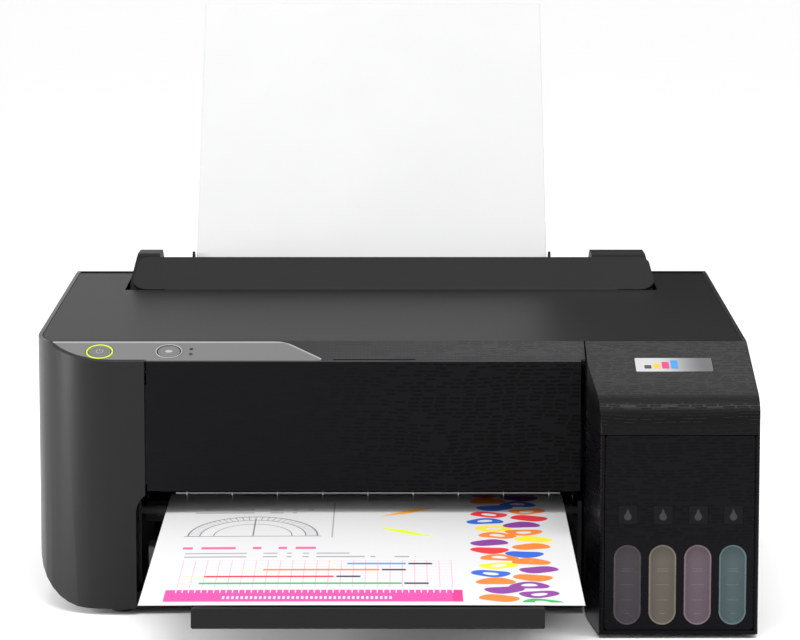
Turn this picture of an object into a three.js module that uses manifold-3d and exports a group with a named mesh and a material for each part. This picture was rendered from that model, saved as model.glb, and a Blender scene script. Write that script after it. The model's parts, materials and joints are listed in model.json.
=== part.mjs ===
// A compact A4 ink-tank inkjet printer, standing on its feet with the output tray pulled out,
// sheets in the rear feeder and one printed page half out. Millimetres, +Z up, +Y to the rear.
// Pieces are placed from the middle of the front face at table height; the finished group is
// moved so that its origin is the middle of its base.
import * as THREE from 'three';
import { mergeVertices } from 'three/addons/utils/BufferGeometryUtils.js';
import Module from 'manifold-3d';

const wasm = await Module();
wasm.setup();

// Driving dimensions -------------------------------------------------------------------------

const gap = 0.4;                 // between pieces that touch in use
const wall = 2.5;                // casing walls
const beyond = 300;              // past every wall, for spaces that are open on one side

const halfWidth = 187.5;
const backY = 297;
const underside = 3.4;
const stripFootZ = 134.6;        // front edge of the sloping strip
const stripHeadY = 20;
const stripHeadZ = 143;
const topRearY = backY - 47;
const topRearZ = 152.5;
const backTopZ = 138;
const frontCornerRadius = 42;
const rearCornerRadius = 30;
const lowerLeftRadius = 28;

const leftCasingWidth = 59.5;
const seamX = -halfWidth + leftCasingWidth;   // left casing to front panel
const openingLeftX = seamX - 5.4;
const openingTopZ = 66.4;
const openingRadius = 12;
const panelThickness = 3;
const panelLeftX = seamX + 0.8;
const coverThickness = 2.6;

const tankUnitWidth = 81;
const tankLeftX = halfWidth - tankUnitWidth;
const tankRearLeftX = tankLeftX - 4.1;        // the tank unit is a little wider behind its front
const panelRightX = tankRearLeftX - 3;
const tankFlareY = -9;
const tankFrontY = -54.3;
const tankRearY = 28;
const tankFloorZ = 2;
const tankSkin = 2.2;
const panelDepth = 2.4;          // the smoked front panel
const lidSeamZ = 104.9;
const lidSlope = THREE.MathUtils.degToRad(16.5);
const lidNose = 16;
const badgeY = -9;
const badgeWidth = 40;
const badgeHeight = 16.5;

const tankWidth = 17.2;
const tankPitch = tankWidth + 0.67;
const firstTankX = halfWidth - tankSkin - gap - 2 - tankWidth / 2 - 3 * tankPitch;
const tankTopZ = 84;
const windowWidth = 14;
const windowFootZ = 7;
const windowHeadZ = 48.5;
const portRadius = 5;
const portY = -22;
const capHeight = 6.5;

const sheetWidth = 210;
const sheetLength = 297;
const sheetMiddleX = (openingLeftX + tankRearLeftX) / 2 + 3.5;
const sheetStack = 2;            // thickness of the loaded sheets
const pageThickness = 0.4;
const feederTilt = THREE.MathUtils.degToRad(52);
const feederY = topRearY + 17.5; // where the sheets pass the feeder's mouth
const feederZ = 160.6;
const sheetDepth = 110;          // how far the sheets reach into the feeder

const feederSide = 35.1;         // width of the top cover beside the feeder
const feederLeftX = -halfWidth + feederSide;
const feederRightX = halfWidth - feederSide;
const feederFrontY = feederY - 79.5;
const feederGap = 1;             // between the cover and the feeder's sides
const leftCheekWidth = 17;
const rightCheekWidth = 35.2;
const guardLength = 27.4;
const guardTilt = THREE.MathUtils.degToRad(36.5);
const guardThickness = 2.5;
const cheekTopZ = 167.2;
const cheekLean = 3.6;           // the cheeks' outer sides lean in above the cover

const pageFrontY = -184.5;
const pageFrontZ = 45.6;
const pageRise = THREE.MathUtils.degToRad(2.57);
const pageLength = 232;          // the part of the page that has come out of the rollers

const trayWidth = 180;
const trayMiddleX = sheetMiddleX + 2;
const trayFrontY = -95;
const trayDepth = 135;
const trayZ = 34;
const trayThickness = 3.5;
const extensionWidth = 166;
const extensionThickness = 2.5;
const extensionDepth = 99;
const stopperHeight = 9.8;
const stopperThickness = 3.5;

const socketY = backY - 14;      // front of the rear sockets
const inletX = 138;
const inletZ = 22;
const inletWidth = 20;
const inletHeight = 16;
const usbX = -120;
const usbZ = 60;
const usbWidth = 12;
const usbHeight = 11.5;

const powerButtonX = -halfWidth + 35.2;
const feedButtonX = powerButtonX + 36.3;
const buttonRadius = 6;
const ringRadius = 7.2;
const buttonDepth = 2.6;
const panelRecess = 0.9;         // the control panel lies in a recess of the cover

const rollerRadius = 6;
const shaftRadius = 3;
const pickupRadius = 12;
const feedRollerY = 74;
const feedRollerZ = 50;
const ejectRollerY = 26;
const motorRadius = 13;
const motorBossRadius = 5;
const gearModule = 1;
const gearTeeth = 40;
const pinionTeeth = 12;
const guidePinionTeeth = 14;
const rackWidth = 2.8;

const frameLeftX = openingLeftX - 0.6;
const frameRightX = tankRearLeftX - 2.9;
const frameThickness = 1.9;
const beamY = 113;
const beamThickness = 1.5;
const carriageX = tankRearLeftX + 27.6;       // parked over the capping station
const carriageWidth = 70;
const pulleyRadius = 6.3;
const pulleyRightX = halfWidth - 19.5;
const pulleyLeftX = openingLeftX - 18.6;
const pulleyZ = 100;
const beltWidth = 6;
const beltThickness = 0.8;

// Solids -------------------------------------------------------------------------------------

function solidOf(geometry) {
  const bare = geometry.index ? geometry.toNonIndexed() : geometry.clone();
  bare.deleteAttribute('normal');
  bare.deleteAttribute('uv');
  const merged = mergeVertices(bare, 1e-4);
  return new wasm.Manifold(new wasm.Mesh({
    numProp: 3,
    vertProperties: merged.attributes.position.array,
    triVerts: new Uint32Array(merged.index.array),
  }));
}

function geometryOf(solid) {
  const mesh = solid.getMesh();
  const geometry = new THREE.BufferGeometry();
  geometry.setAttribute('position', new THREE.BufferAttribute(mesh.vertProperties, 3));
  geometry.setIndex(new THREE.BufferAttribute(mesh.triVerts, 1));
  geometry.computeVertexNormals();
  return geometry;
}

const join = (first, ...others) => others.reduce((all, one) => all.add(one), first);
const cut = (first, ...others) => others.reduce((left, one) => left.subtract(one), first);
const meet = (first, ...others) => others.reduce((left, one) => left.intersect(one), first);

// An outline through corners [u, v, radius], where the radius rounds that corner.
function outline(corners) {
  const shape = new THREE.Shape();
  corners.forEach(([u, v, radius = 0], i) => {
    const here = new THREE.Vector2(u, v);
    const back = new THREE.Vector2(...corners.at(i - 1).slice(0, 2)).sub(here).normalize();
    const ahead = new THREE.Vector2(...corners[(i + 1) % corners.length].slice(0, 2)).sub(here).normalize();
    const half = Math.acos(THREE.MathUtils.clamp(back.dot(ahead), -1, 1)) / 2;
    const start = here.clone().addScaledVector(back, radius / Math.tan(half));
    if (i) shape.lineTo(start.x, start.y);
    else shape.moveTo(start.x, start.y);
    if (!radius) return;
    const end = here.clone().addScaledVector(ahead, radius / Math.tan(half));
    const centre = here.clone().addScaledVector(back.clone().add(ahead).normalize(), radius / Math.sin(half));
    const from = Math.atan2(start.y - centre.y, start.x - centre.x);
    const to = Math.atan2(end.y - centre.y, end.x - centre.x);
    shape.absarc(centre.x, centre.y, radius, from, to, back.cross(ahead) > 0);
  });
  shape.closePath();
  return shape;
}

function extruded(shape, depth, segments) {
  return new THREE.ExtrudeGeometry(shape, { depth, bevelEnabled: false, curveSegments: segments });
}

// The outline's u and v are X and Y, Y and Z, or X and Z.
function planPrism(shape, z0, z1, segments = 3) {
  return solidOf(extruded(shape, z1 - z0, segments).translate(0, 0, z0));
}

function sidePrism(shape, x0, x1, segments = 3) {
  const turn = new THREE.Matrix4().makeBasis(
    new THREE.Vector3(0, 1, 0), new THREE.Vector3(0, 0, 1), new THREE.Vector3(1, 0, 0));
  return solidOf(extruded(shape, x1 - x0, segments).applyMatrix4(turn).translate(x0, 0, 0));
}

function frontPrism(shape, y0, y1, segments = 3) {
  const turn = new THREE.Matrix4().makeBasis(
    new THREE.Vector3(1, 0, 0), new THREE.Vector3(0, 0, 1), new THREE.Vector3(0, -1, 0));
  return solidOf(extruded(shape, y1 - y0, segments).applyMatrix4(turn).translate(0, y1, 0));
}

function box(x0, x1, y0, y1, z0, z1) {
  const geometry = new THREE.BoxGeometry(x1 - x0, y1 - y0, z1 - z0);
  return solidOf(geometry.translate((x0 + x1) / 2, (y0 + y1) / 2, (z0 + z1) / 2));
}

function rodX(radius, x0, x1, y, z, sides = 20) {
  const geometry = new THREE.CylinderGeometry(radius, radius, x1 - x0, sides);
  return solidOf(geometry.rotateZ(Math.PI / 2).translate((x0 + x1) / 2, y, z));
}

function rodY(radius, y0, y1, x, z, sides = 20) {
  const geometry = new THREE.CylinderGeometry(radius, radius, y1 - y0, sides);
  return solidOf(geometry.translate(x, (y0 + y1) / 2, z));
}

function rodZ(radius, z0, z1, x, y, sides = 20) {
  const geometry = new THREE.CylinderGeometry(radius, radius, z1 - z0, sides);
  return solidOf(geometry.rotateX(Math.PI / 2).translate(x, y, (z0 + z1) / 2));
}

function moved(solid, matrix) {
  return solidOf(geometryOf(solid).applyMatrix4(matrix));
}

// A toothed wheel with its first tooth on +u.
function gearOutline(teeth, pitchRadius) {
  const shape = new THREE.Shape();
  const pitch = 2 * Math.PI / teeth;
  const tip = pitchRadius + 0.75 * gearModule;
  const root = pitchRadius - gearModule;
  for (let i = 0; i < teeth; i++) {
    [[-0.27, root], [-0.1, tip], [0.1, tip], [0.27, root]].forEach(([share, radius]) => {
      const angle = (i + share) * pitch;
      const point = [radius * Math.cos(angle), radius * Math.sin(angle)];
      if (i || share > -0.27) shape.lineTo(...point);
      else shape.moveTo(...point);
    });
  }
  shape.closePath();
  return shape;
}

// Frames -------------------------------------------------------------------------------------

const stripTilt = Math.atan2(stripHeadZ - stripFootZ, stripHeadY);
const stripLength = Math.hypot(stripHeadZ - stripFootZ, stripHeadY);
const topTilt = Math.atan2(topRearZ - stripHeadZ, topRearY - stripHeadY);

// Local Y runs up the strip from its front edge and local Z stands out of it.
const onStrip = new THREE.Matrix4().makeRotationX(stripTilt).setPosition(0, 0, stripFootZ);

// Local Y runs up the loaded sheets from the feeder's mouth and local Z points out at the front.
const onSheets = new THREE.Matrix4().makeRotationX(feederTilt).setPosition(sheetMiddleX, feederY, feederZ);

// Local Y runs into the machine along the printed page from its front edge.
const onPage = new THREE.Matrix4().makeRotationX(pageRise)
  .setPosition(sheetMiddleX - 1, pageFrontY, pageFrontZ);

const topZ = (y) => stripHeadZ + (y - stripHeadY) * Math.tan(topTilt);
const pageZ = (y) => pageFrontZ + (y - pageFrontY) * Math.tan(pageRise);

// Outer form ---------------------------------------------------------------------------------

function bodyPlan(inset) {
  return outline([
    [-halfWidth + inset, inset, frontCornerRadius - inset],
    [halfWidth - inset, inset],
    [halfWidth - inset, backY - inset, rearCornerRadius - inset],
    [-halfWidth + inset, backY - inset, rearCornerRadius - inset],
  ]);
}

function bodySide(inset) {
  return outline([
    [inset, underside + inset],
    [backY - inset, underside + inset],
    [backY - inset, backTopZ - inset, 8],
    [topRearY + 10, topRearZ - inset],
    [topRearY, topRearZ - inset],
    [stripHeadY, stripHeadZ - inset],
    [inset, stripFootZ - inset],
  ]);
}

function bodyFront(inset) {
  return outline([
    [-halfWidth + inset, underside + inset, lowerLeftRadius - inset],
    [halfWidth - inset, underside + inset, 6 - inset],
    [halfWidth - inset, 200],
    [-halfWidth + inset, 200],
  ]);
}

function bodyForm(inset) {
  return meet(
    planPrism(bodyPlan(inset), 0, 200, 5),
    sidePrism(bodySide(inset), -halfWidth - 1, halfWidth + 1),
    frontPrism(bodyFront(inset), -1, backY + 1, 4),
  );
}

const outerForm = bodyForm(0);
const shell = cut(outerForm, bodyForm(wall));
const coverRearY = topRearY - 2;
const hingeX = halfWidth - 18.5;
const hingeY = topRearY + 0.5;
const hingeZ = topRearZ - 5.5;
const hingePinRadius = 1.5;

// The space of the hinged cover, which the casings leave free.
function coverSpace(clearance) {
  const depth = coverThickness + clearance;
  const band = outline([
    [-5, stripFootZ - depth - 4.4],
    [-5, 220],
    [coverRearY + 8 + clearance, 220],
    [coverRearY + 8 + clearance, topRearZ - depth - 6],
    [coverRearY - 10, topZ(coverRearY - 10) - depth],
    [stripHeadY, stripHeadZ - depth - 0.8],
  ]);
  return meet(sidePrism(band, -beyond, beyond), planPrism(bodyPlan(wall - clearance), 0, 220, 5));
}

function openingSpace(y1) {
  return frontPrism(outline([
    [openingLeftX, -5],
    [beyond, -5],
    [beyond, openingTopZ],
    [openingLeftX, openingTopZ, openingRadius],
  ]), -5, y1);
}

const baseLeftX = -halfWidth + lowerLeftRadius + 3.5;
const baseHeight = 8.6;
const baseSpace = meet(
  box(baseLeftX - gap, beyond, -1, 400, -1, underside + baseHeight + gap),
  planPrism(bodyPlan(wall), -1, 100, 5),
);

// Casings ------------------------------------------------------------------------------------

function baseTray() {
  const outer = meet(box(baseLeftX, beyond, -1, 400, underside, underside + baseHeight),
    planPrism(bodyPlan(wall + gap), 0, 100, 5));
  const inner = meet(box(baseLeftX + wall, beyond, -1, 400, underside + wall, 100),
    planPrism(bodyPlan(2 * wall + gap), 0, 100, 5));
  const tankNotch = box(tankRearLeftX - 1, beyond, -5, tankRearY + 1, 0, 20);
  return cut(outer, inner, tankNotch);
}

function leftCasing() {
  const side = box(-beyond, seamX - gap, -1, backY + 1, 0, 220);
  const besideFeeder = box(feederLeftX - gap, 0, feederFrontY - 2, backY - wall - 1, 0, 220);
  const liningFootZ = underside + baseHeight + 2 * gap;
  const lining = box(openingLeftX - wall, openingLeftX, wall / 2, 20, liningFootZ, openingTopZ + 4);
  const behindPanel = panelThickness + gap;
  const seamStrip = join(
    box(seamX - 4, seamX - gap, wall - 1, behindPanel + 1.6, openingTopZ + 3, 122),
    box(seamX - 4, seamX + 4, behindPanel, behindPanel + 1.6, openingTopZ + 3, 122),
  );
  const skin = cut(meet(shell, side), coverSpace(gap), baseSpace, openingSpace(19), besideFeeder);
  const back = box(feederLeftX, 0, backY - 20, backY + 1, 0, 220);
  return join(cut(join(skin, meet(lining, outerForm), seamStrip), back), hingeLug(-1));
}

function rightCasing() {
  const side = box(feederRightX + gap, beyond, stripHeadY + gap, backY + 1, 0, 220);
  return join(cut(meet(shell, side), coverSpace(gap), baseSpace), hingeLug(1));
}

function rearCover() {
  const middle = box(feederLeftX + gap, feederRightX - gap, socketY, backY + 1, 0, 220);
  const inlet = box(inletX - inletWidth / 2 - gap, inletX + inletWidth / 2 + gap, socketY - 3, backY + 3,
    inletZ - gap, inletZ + inletHeight + gap);
  const socket = box(usbX - usbWidth / 2 - gap, usbX + usbWidth / 2 + gap, socketY - 3, backY + 3,
    usbZ - gap, usbZ + usbHeight + gap);
  return cut(meet(shell, middle), baseSpace, inlet, socket);
}

function printerCover() {
  const skin = cut(outerForm, moved(outerForm, new THREE.Matrix4().makeTranslation(0, 0, -coverThickness)));
  const plan = cut(
    planPrism(bodyPlan(wall), 100, 220, 5),
    box(-beyond, beyond, coverRearY, 400, 0, 220),
    box(feederLeftX - feederGap, feederRightX + feederGap, feederFrontY - 1, 400, 0, 220),
    box(tankRearLeftX - 0.7, beyond, -5, stripHeadY + 0.6, 0, 220),
  );
  const front = box(panelLeftX, panelRightX, -1, wall + 1, 100, 220);
  const upper = box(-beyond, beyond, -1, 400, stripFootZ - coverThickness - 1, 220);
  const plate = meet(skin, join(plan, front), upper);
  const panel = cut(
    meet(box(panelLeftX, panelRightX, 0, panelThickness, openingTopZ, stripFootZ + 1), outerForm),
    openingSpace(10),
  );
  const ribTopZ = topZ(stripHeadY) - coverThickness - 5;
  const ribs = [seamX + 38, tankRearLeftX - 62.4].map((x) =>
    box(x, x + 2, panelThickness - 0.5, 30, 118, ribTopZ));
  const knuckles = [-1, 1].map((side) => hingeKnuckle(side));
  const bores = [powerButtonX, feedButtonX].map((x) => stripRod(buttonRadius + gap, x, -6, 2));
  return cut(join(plate, panel, ...ribs.map((rib) => meet(rib, outerForm)), ...knuckles),
    controlPanelSpace(gap, 1), ...bores, stripRod(ringRadius + gap, powerButtonX, -1.5, 2));
}

function hingeKnuckle(side) {
  const x0 = side * hingeX;
  const arm = box(x0 - 6, x0 + 6, coverRearY - 12, hingeY, hingeZ - 2.5, topRearZ - 2.6);
  const barrel = rodX(3.6, x0 - 6, x0 + 6, hingeY, hingeZ, 16);
  const slope = meet(join(arm, barrel), outerForm);
  return cut(slope, rodX(hingePinRadius + gap, x0 - 8, x0 + 8, hingeY, hingeZ, 12));
}

// A lug on the casing's side wall that carries the cover's hinge pin.
function hingeLug(side) {
  const [x0, x1] = [side * (hingeX + 6.6), side * (halfWidth - wall + 0.5)].sort((a, b) => a - b);
  const [pin0, pin1] = [side * (hingeX - 8), side * (hingeX + 8)].sort((a, b) => a - b);
  const lug = box(x0, x1, hingeY - 3, hingeY + 3, hingeZ - 12, hingeZ + 2);
  return join(lug, rodX(hingePinRadius, pin0, pin1, hingeY, hingeZ, 12));
}

// Control panel on the strip -------------------------------------------------------------------

function stripRod(radius, x, low, high) {
  return moved(rodZ(radius, low, high, x, stripLength / 2, 24), onStrip);
}

function controlPanelSpace(clearance, high) {
  const foot = 1.6 - clearance;
  const head = stripLength - 0.4 + clearance;
  const shape = outline([
    [powerButtonX - 34 - clearance, head, 1],
    [feedButtonX + 60.5, head, 14],
    [feedButtonX + 82.5 + clearance, foot, 1.5],
    [powerButtonX - 13 - clearance / 2, foot, 8],
    [powerButtonX - 30 - clearance, 6, 6],
  ]);
  return moved(planPrism(shape, -panelRecess - clearance, high, 2), onStrip);
}

function controlPanel() {
  const inside = planPrism(bodyPlan(wall), 100, 220, 5);
  const besideLip = box(panelLeftX, beyond, 1, wall + 1, 100, 220);
  const plate = meet(controlPanelSpace(0, -0.05), join(inside, besideLip));
  return cut(
    plate,
    stripRod(ringRadius + gap, powerButtonX, -4, 4),
    stripRod(buttonRadius + gap, feedButtonX, -4, 4),
  );
}

function powerRing() {
  const disc = stripRod(ringRadius, powerButtonX, -1.1, 0.1);
  return cut(disc, stripRod(buttonRadius + gap, powerButtonX, -4, 4));
}

// Rear feeder --------------------------------------------------------------------------------

const sheetsBottom = -sheetDepth;
const backPlateFront = -sheetStack / 2 - 0.6;
const backPlateBack = backPlateFront - 2.9;
const rackFront = backPlateBack - gap;
const rackBack = rackFront - 3.2;
const supportFront = rackBack - 0.8;
const supportBack = supportFront - 2.8;
const extensionBack = supportBack - gap - 2.5;
const rackHeight = -62;          // the guides' stems and racks, down the slope
const guidePitchRadius = guidePinionTeeth * gearModule / 2;

function slopeBox(x0, x1, low, high, back, front) {
  return moved(box(x0, x1, low, high, back, front), onSheets);
}

function feederFrame() {
  const left = feederLeftX - sheetMiddleX + gap;
  const right = feederRightX - sheetMiddleX - gap;
  const back = slopeBox(left, right, sheetsBottom - 4, -8, backPlateBack, backPlateFront);
  const slots = [-1, 1].map((side) => slopeBox(
    side * sheetWidth / 2 - 7 + side * 3, side * sheetWidth / 2 + 7 + side * 3,
    rackHeight - 4, rackHeight + 4, -20, 20));
  const front = box(feederLeftX + gap, feederRightX - gap, feederFrontY, feederFrontY + 2.4, 104, 145.6);
  const cheek = outline([
    [0, 104], [24, 76], [84, 152], [56, cheekTopZ, 4], [34, cheekTopZ, 8], [18, 146], [0, 140],
  ].map(([y, z, radius]) => [feederFrontY + y, z, radius]));
  const leaning = frontPrism(outline([
    [feederLeftX + gap, 60],
    [feederRightX - gap, 60],
    [feederRightX - gap, topRearZ],
    [feederRightX - gap - cheekLean, cheekTopZ + 1, 2],
    [feederLeftX + gap + cheekLean, cheekTopZ + 1, 2],
    [feederLeftX + gap, topRearZ],
  ]), feederFrontY - 1, backY);
  const cheeks = [
    [feederLeftX + gap, feederLeftX + leftCheekWidth],
    [feederRightX - rightCheekWidth, feederRightX - gap],
  ].map(([x0, x1]) => meet(sidePrism(cheek, x0, x1), leaning));
  return cut(join(back, front, ...cheeks), ...slots);
}

function edgeGuide(side) {
  const edge = sheetWidth / 2 + 0.6;
  const across = (near, far) => [side * near, side * far].sort((a, b) => a - b);
  const fence = slopeBox(...across(edge, edge + 1.6), -95, 1, backPlateFront + gap, 4);
  const foot = slopeBox(...across(edge, edge + 9), -95, -12, backPlateFront + gap, backPlateFront + 2);
  const stem = slopeBox(...across(edge + 1, edge + 5), rackHeight - 2, rackHeight + 2,
    rackBack, backPlateFront + 1);
  const reach = guidePitchRadius + gearModule;
  const low = side < 0 ? rackHeight + reach : rackHeight - reach - rackWidth;
  const arm = slopeBox(...across(-24, edge + 4), low, low + rackWidth, rackBack, rackFront);
  const link = slopeBox(...across(edge + 1, edge + 4), Math.min(low, rackHeight - 2),
    Math.max(low + rackWidth, rackHeight + 2), rackBack, rackFront);
  return join(fence, foot, stem, arm, link, ...rackTeeth(side));
}

// Rack teeth stand between the pinion's teeth: the pinion's first tooth is on +X, so a gap or a
// tooth is straight up according to its number of teeth.
function rackTeeth(side) {
  const pitch = 2 * Math.PI * guidePitchRadius / guidePinionTeeth;
  const up = side < 0 ? 1 : -1;
  const base = rackHeight + up * (guidePitchRadius + gearModule);
  const tip = rackHeight + up * (guidePitchRadius - 0.6 * gearModule);
  const turnToTop = (guidePinionTeeth / 4) % 1;
  const teeth = [];
  for (let i = -5; i <= 5; i++) {
    const middle = (i + 0.5 + up * turnToTop) * pitch;
    const shape = outline([
      [middle - 0.27 * pitch, base + up * 0.2], [middle - 0.1 * pitch, tip],
      [middle + 0.1 * pitch, tip], [middle + 0.27 * pitch, base + up * 0.2],
    ]);
    teeth.push(moved(planPrism(shape, rackBack, rackFront), onSheets));
  }
  return teeth;
}

function guidePinion() {
  const wheel = planPrism(gearOutline(guidePinionTeeth, guidePitchRadius), rackBack, rackFront)
    .add(rodZ(2.4, rackBack - gap, rackFront, 0, 0, 12));
  return moved(moved(wheel, new THREE.Matrix4().makeTranslation(0, rackHeight, 0)), onSheets);
}

function loadedSheets() {
  return slopeBox(-sheetWidth / 2, sheetWidth / 2, sheetsBottom, sheetLength - sheetDepth,
    -sheetStack / 2, sheetStack / 2);
}

function paperSupport() {
  return slopeBox(-88, 88, -30, 95, supportBack, supportFront);
}

function supportExtension() {
  return slopeBox(-60, 60, 60, 150, extensionBack, supportBack - gap);
}

function feederGuard() {
  const half = feederRightX + 0.1;
  const shape = outline([
    [-half + 1.6, 0, 8],
    [half, 0, 8],
    [half - 3.5, guardLength, 6],
    [-half + 5.5, guardLength, 6],
  ]);
  const footZ = topZ(feederFrontY + 2) - 0.1;
  const place = new THREE.Matrix4().makeRotationX(guardTilt)
    .setPosition(0.5, feederFrontY + 2, footZ);
  const plate = moved(planPrism(shape, -guardThickness, 0), place);
  return join(plate, rodX(1.9, -half + 22, half - 22, feederFrontY + 3.5, footZ - 1.1, 12));
}

// Ink tank unit ------------------------------------------------------------------------------

const tankX = (i) => firstTankX + i * tankPitch;

function tankPlan(inset, rearY) {
  return outline([
    [tankLeftX + inset, tankFrontY + inset, 1.5],
    [halfWidth - inset, tankFrontY + inset, 2],
    [halfWidth - inset, rearY],
    [tankRearLeftX + inset, rearY],
    [tankRearLeftX + inset, tankFlareY],
  ]);
}

function tankHousing() {
  const top = lidSeamZ - 0.2;
  const floor = tankFloorZ + tankSkin;
  const roomRightX = tankX(3) + tankWidth / 2 + gap;
  const nose = planPrism(tankPlan(0, stripHeadY - gap), tankFloorZ, top);
  const rear = box(tankRearLeftX, halfWidth - wall - gap, 0, tankRearY, tankFloorZ, top);
  const room = planPrism(tankPlan(tankSkin, tankRearY - tankSkin), floor, 120);
  const front = box(tankLeftX + tankSkin, halfWidth - tankSkin, -70, tankFrontY + panelDepth + gap,
    floor, 120);
  return cut(join(nose, rear), meet(room, box(0, roomRightX, tankFrontY - 5, tankRearY, 0, 130)), front);
}

function windowOutline(x, inset) {
  const half = windowWidth / 2 - inset;
  const round = half - 0.01;
  return outline([
    [x - half, windowFootZ + inset, round],
    [x + half, windowFootZ + inset, round],
    [x + half, windowHeadZ - inset, round],
    [x - half, windowHeadZ - inset, round],
  ]);
}

function tankFrontPanel() {
  const x0 = tankLeftX + tankSkin + gap;
  const plate = box(x0, halfWidth - tankSkin - gap, tankFrontY, tankFrontY + panelDepth,
    tankFloorZ + tankSkin + gap, lidSeamZ - 0.2);
  const windows = [0, 1, 2, 3].map((i) =>
    frontPrism(windowOutline(tankX(i), 0), tankFrontY - 1, tankFrontY + 4));
  return cut(plate, ...windows);
}

function inkTank(i) {
  const x = tankX(i);
  const body = box(x - tankWidth / 2, x + tankWidth / 2,
    tankFrontY + panelDepth + gap, tankRearY - tankSkin - gap, tankFloorZ + tankSkin + gap, tankTopZ);
  const lens = frontPrism(windowOutline(x, gap), tankFrontY + 1, tankFrontY + 4);
  const port = rodZ(portRadius, tankTopZ - 1, tankTopZ + 6, x, portY, 16);
  const bore = rodZ(portRadius - 2, tankTopZ - 8, tankTopZ + 9, x, portY, 12);
  return cut(join(body, lens, port), bore);
}

function tankCap(i) {
  const x = tankX(i);
  const low = tankTopZ + 6 + gap;
  const cap = rodZ(portRadius + 1.8, low, low + capHeight, x, portY, 20);
  const tab = box(x - 3, x + 3, portY, portY + 12, low, low + 2.5);
  return join(cap, tab);
}

function lidOutline(inset) {
  const slopeAtNose = stripHeadZ - (stripHeadY - tankFrontY) * Math.tan(lidSlope);
  return outline([
    [tankFrontY + inset, lidSeamZ + 0.2],
    [stripHeadY - gap / 2 + inset, lidSeamZ + 0.2],
    [stripHeadY - gap / 2 + inset, stripHeadZ - inset],
    [tankFrontY + inset, slopeAtNose - inset, lidNose - inset],
  ]);
}

function tankLid() {
  const outerPlan = planPrism(tankPlan(0, stripHeadY), 90, 150);
  const outer = meet(outerPlan, sidePrism(lidOutline(0), 0, beyond, 5));
  const innerPlan = planPrism(tankPlan(tankSkin, stripHeadY + 5), 90, 150);
  const inner = meet(innerPlan, sidePrism(lidOutline(tankSkin), 0, beyond, 5));
  const mouth = box(0, beyond, tankFrontY + tankSkin, stripHeadY + 5, 90, lidSeamZ + 1);
  const besideHousing = box(tankRearLeftX + tankSkin, halfWidth - tankSkin, 0, stripHeadY + 5, 90, 134);
  return cut(outer, inner, meet(mouth, innerPlan), badgeSpace(gap / 2), besideHousing);
}

function badgeSpace(clearance) {
  const middleZ = stripHeadZ - (stripHeadY - badgeY) * Math.tan(lidSlope);
  const place = new THREE.Matrix4().makeRotationX(lidSlope)
    .setPosition(tankLeftX + tankUnitWidth / 2, badgeY, middleZ);
  const [halfBadge, halfBadgeHeight] = [badgeWidth / 2 + clearance, badgeHeight / 2 + clearance];
  const plate = outline([
    [-halfBadge, -halfBadgeHeight, 0.8],
    [halfBadge, -halfBadgeHeight, 0.8],
    [halfBadge, halfBadgeHeight, 0.8],
    [-halfBadge, halfBadgeHeight, 0.8],
  ]);
  return moved(planPrism(plate, -0.5 - clearance, 0.25, 1), place);
}

// Output tray and paper ----------------------------------------------------------------------

function outputTray() {
  const plate = box(trayMiddleX - trayWidth / 2, trayMiddleX + trayWidth / 2,
    trayFrontY, trayFrontY + trayDepth, trayZ, trayZ + trayThickness);
  const grip = rodZ(9, trayZ - 1, trayZ + trayThickness + 1, trayMiddleX, trayFrontY, 24);
  return cut(plate, grip);
}

const extensionFrontY = trayFrontY - extensionDepth + 10;

function trayExtension() {
  const low = trayZ + trayThickness + gap;
  const plate = box(trayMiddleX - extensionWidth / 2, trayMiddleX + extensionWidth / 2,
    extensionFrontY, trayFrontY + 10, low, low + extensionThickness);
  const ears = [-1, 1].map((side) => {
    const x = trayMiddleX + side * (extensionWidth / 2 - 22);
    return box(x - 2, x + 2, extensionFrontY + 0.2, extensionFrontY + 3, low, low + 4.2);
  });
  return join(plate, ...ears);
}

function trayStopper() {
  const y1 = extensionFrontY - 1;
  const top = pageFrontZ - pageThickness - 0.2;
  const low = top - stopperHeight;
  const x0 = trayMiddleX - extensionWidth / 2;
  const x1 = x0 + extensionWidth;
  const face = outline([[x0, low, 1], [x1, low, 1], [x1, top, 1], [x0, top, 1]]);
  return frontPrism(face, y1 - stopperThickness, y1);
}

function printedPage() {
  const half = pageThickness / 2;
  return moved(box(-sheetWidth / 2, sheetWidth / 2, 0, pageLength, -half, half), onPage);
}

// Mechanism ----------------------------------------------------------------------------------

const ejectRollerZ = pageZ(ejectRollerY) - pageThickness - shaftRadius - 0.2;
const rollerLeftX = frameLeftX + frameThickness + 8;
const rollerRightX = frameRightX - 3;

function sideFrame(x) {
  const plate = sidePrism(outline([
    [22, 12.6], [118, 12.6], [118, 71.6], [108, 71.6], [108, 57], [22, 57],
  ]), x, x + frameThickness);
  return cut(plate, rodX(shaftRadius + gap, x - 1, x + 5, feedRollerY, feedRollerZ, 16),
    rodX(shaftRadius + gap, x - 1, x + 5, ejectRollerY, ejectRollerZ, 16));
}

function feedRoller() {
  const shaft = rodX(shaftRadius, frameLeftX - 12, frameRightX + 1.4, feedRollerY, feedRollerZ, 16);
  return join(shaft, rodX(rollerRadius, rollerLeftX, rollerRightX, feedRollerY, feedRollerZ, 20));
}

function ejectRoller() {
  return join(
    rodX(shaftRadius - 0.6, frameLeftX - 1, frameRightX + 1.4, ejectRollerY, ejectRollerZ, 12),
    rodX(shaftRadius, rollerLeftX, rollerRightX, ejectRollerY, ejectRollerZ, 16),
  );
}

const gearX = frameLeftX - 9;
const gearRadius = gearTeeth * gearModule / 2;
const pinionRadius = pinionTeeth * gearModule / 2;
const feedMotorY = feedRollerY + gearRadius + pinionRadius;

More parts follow.
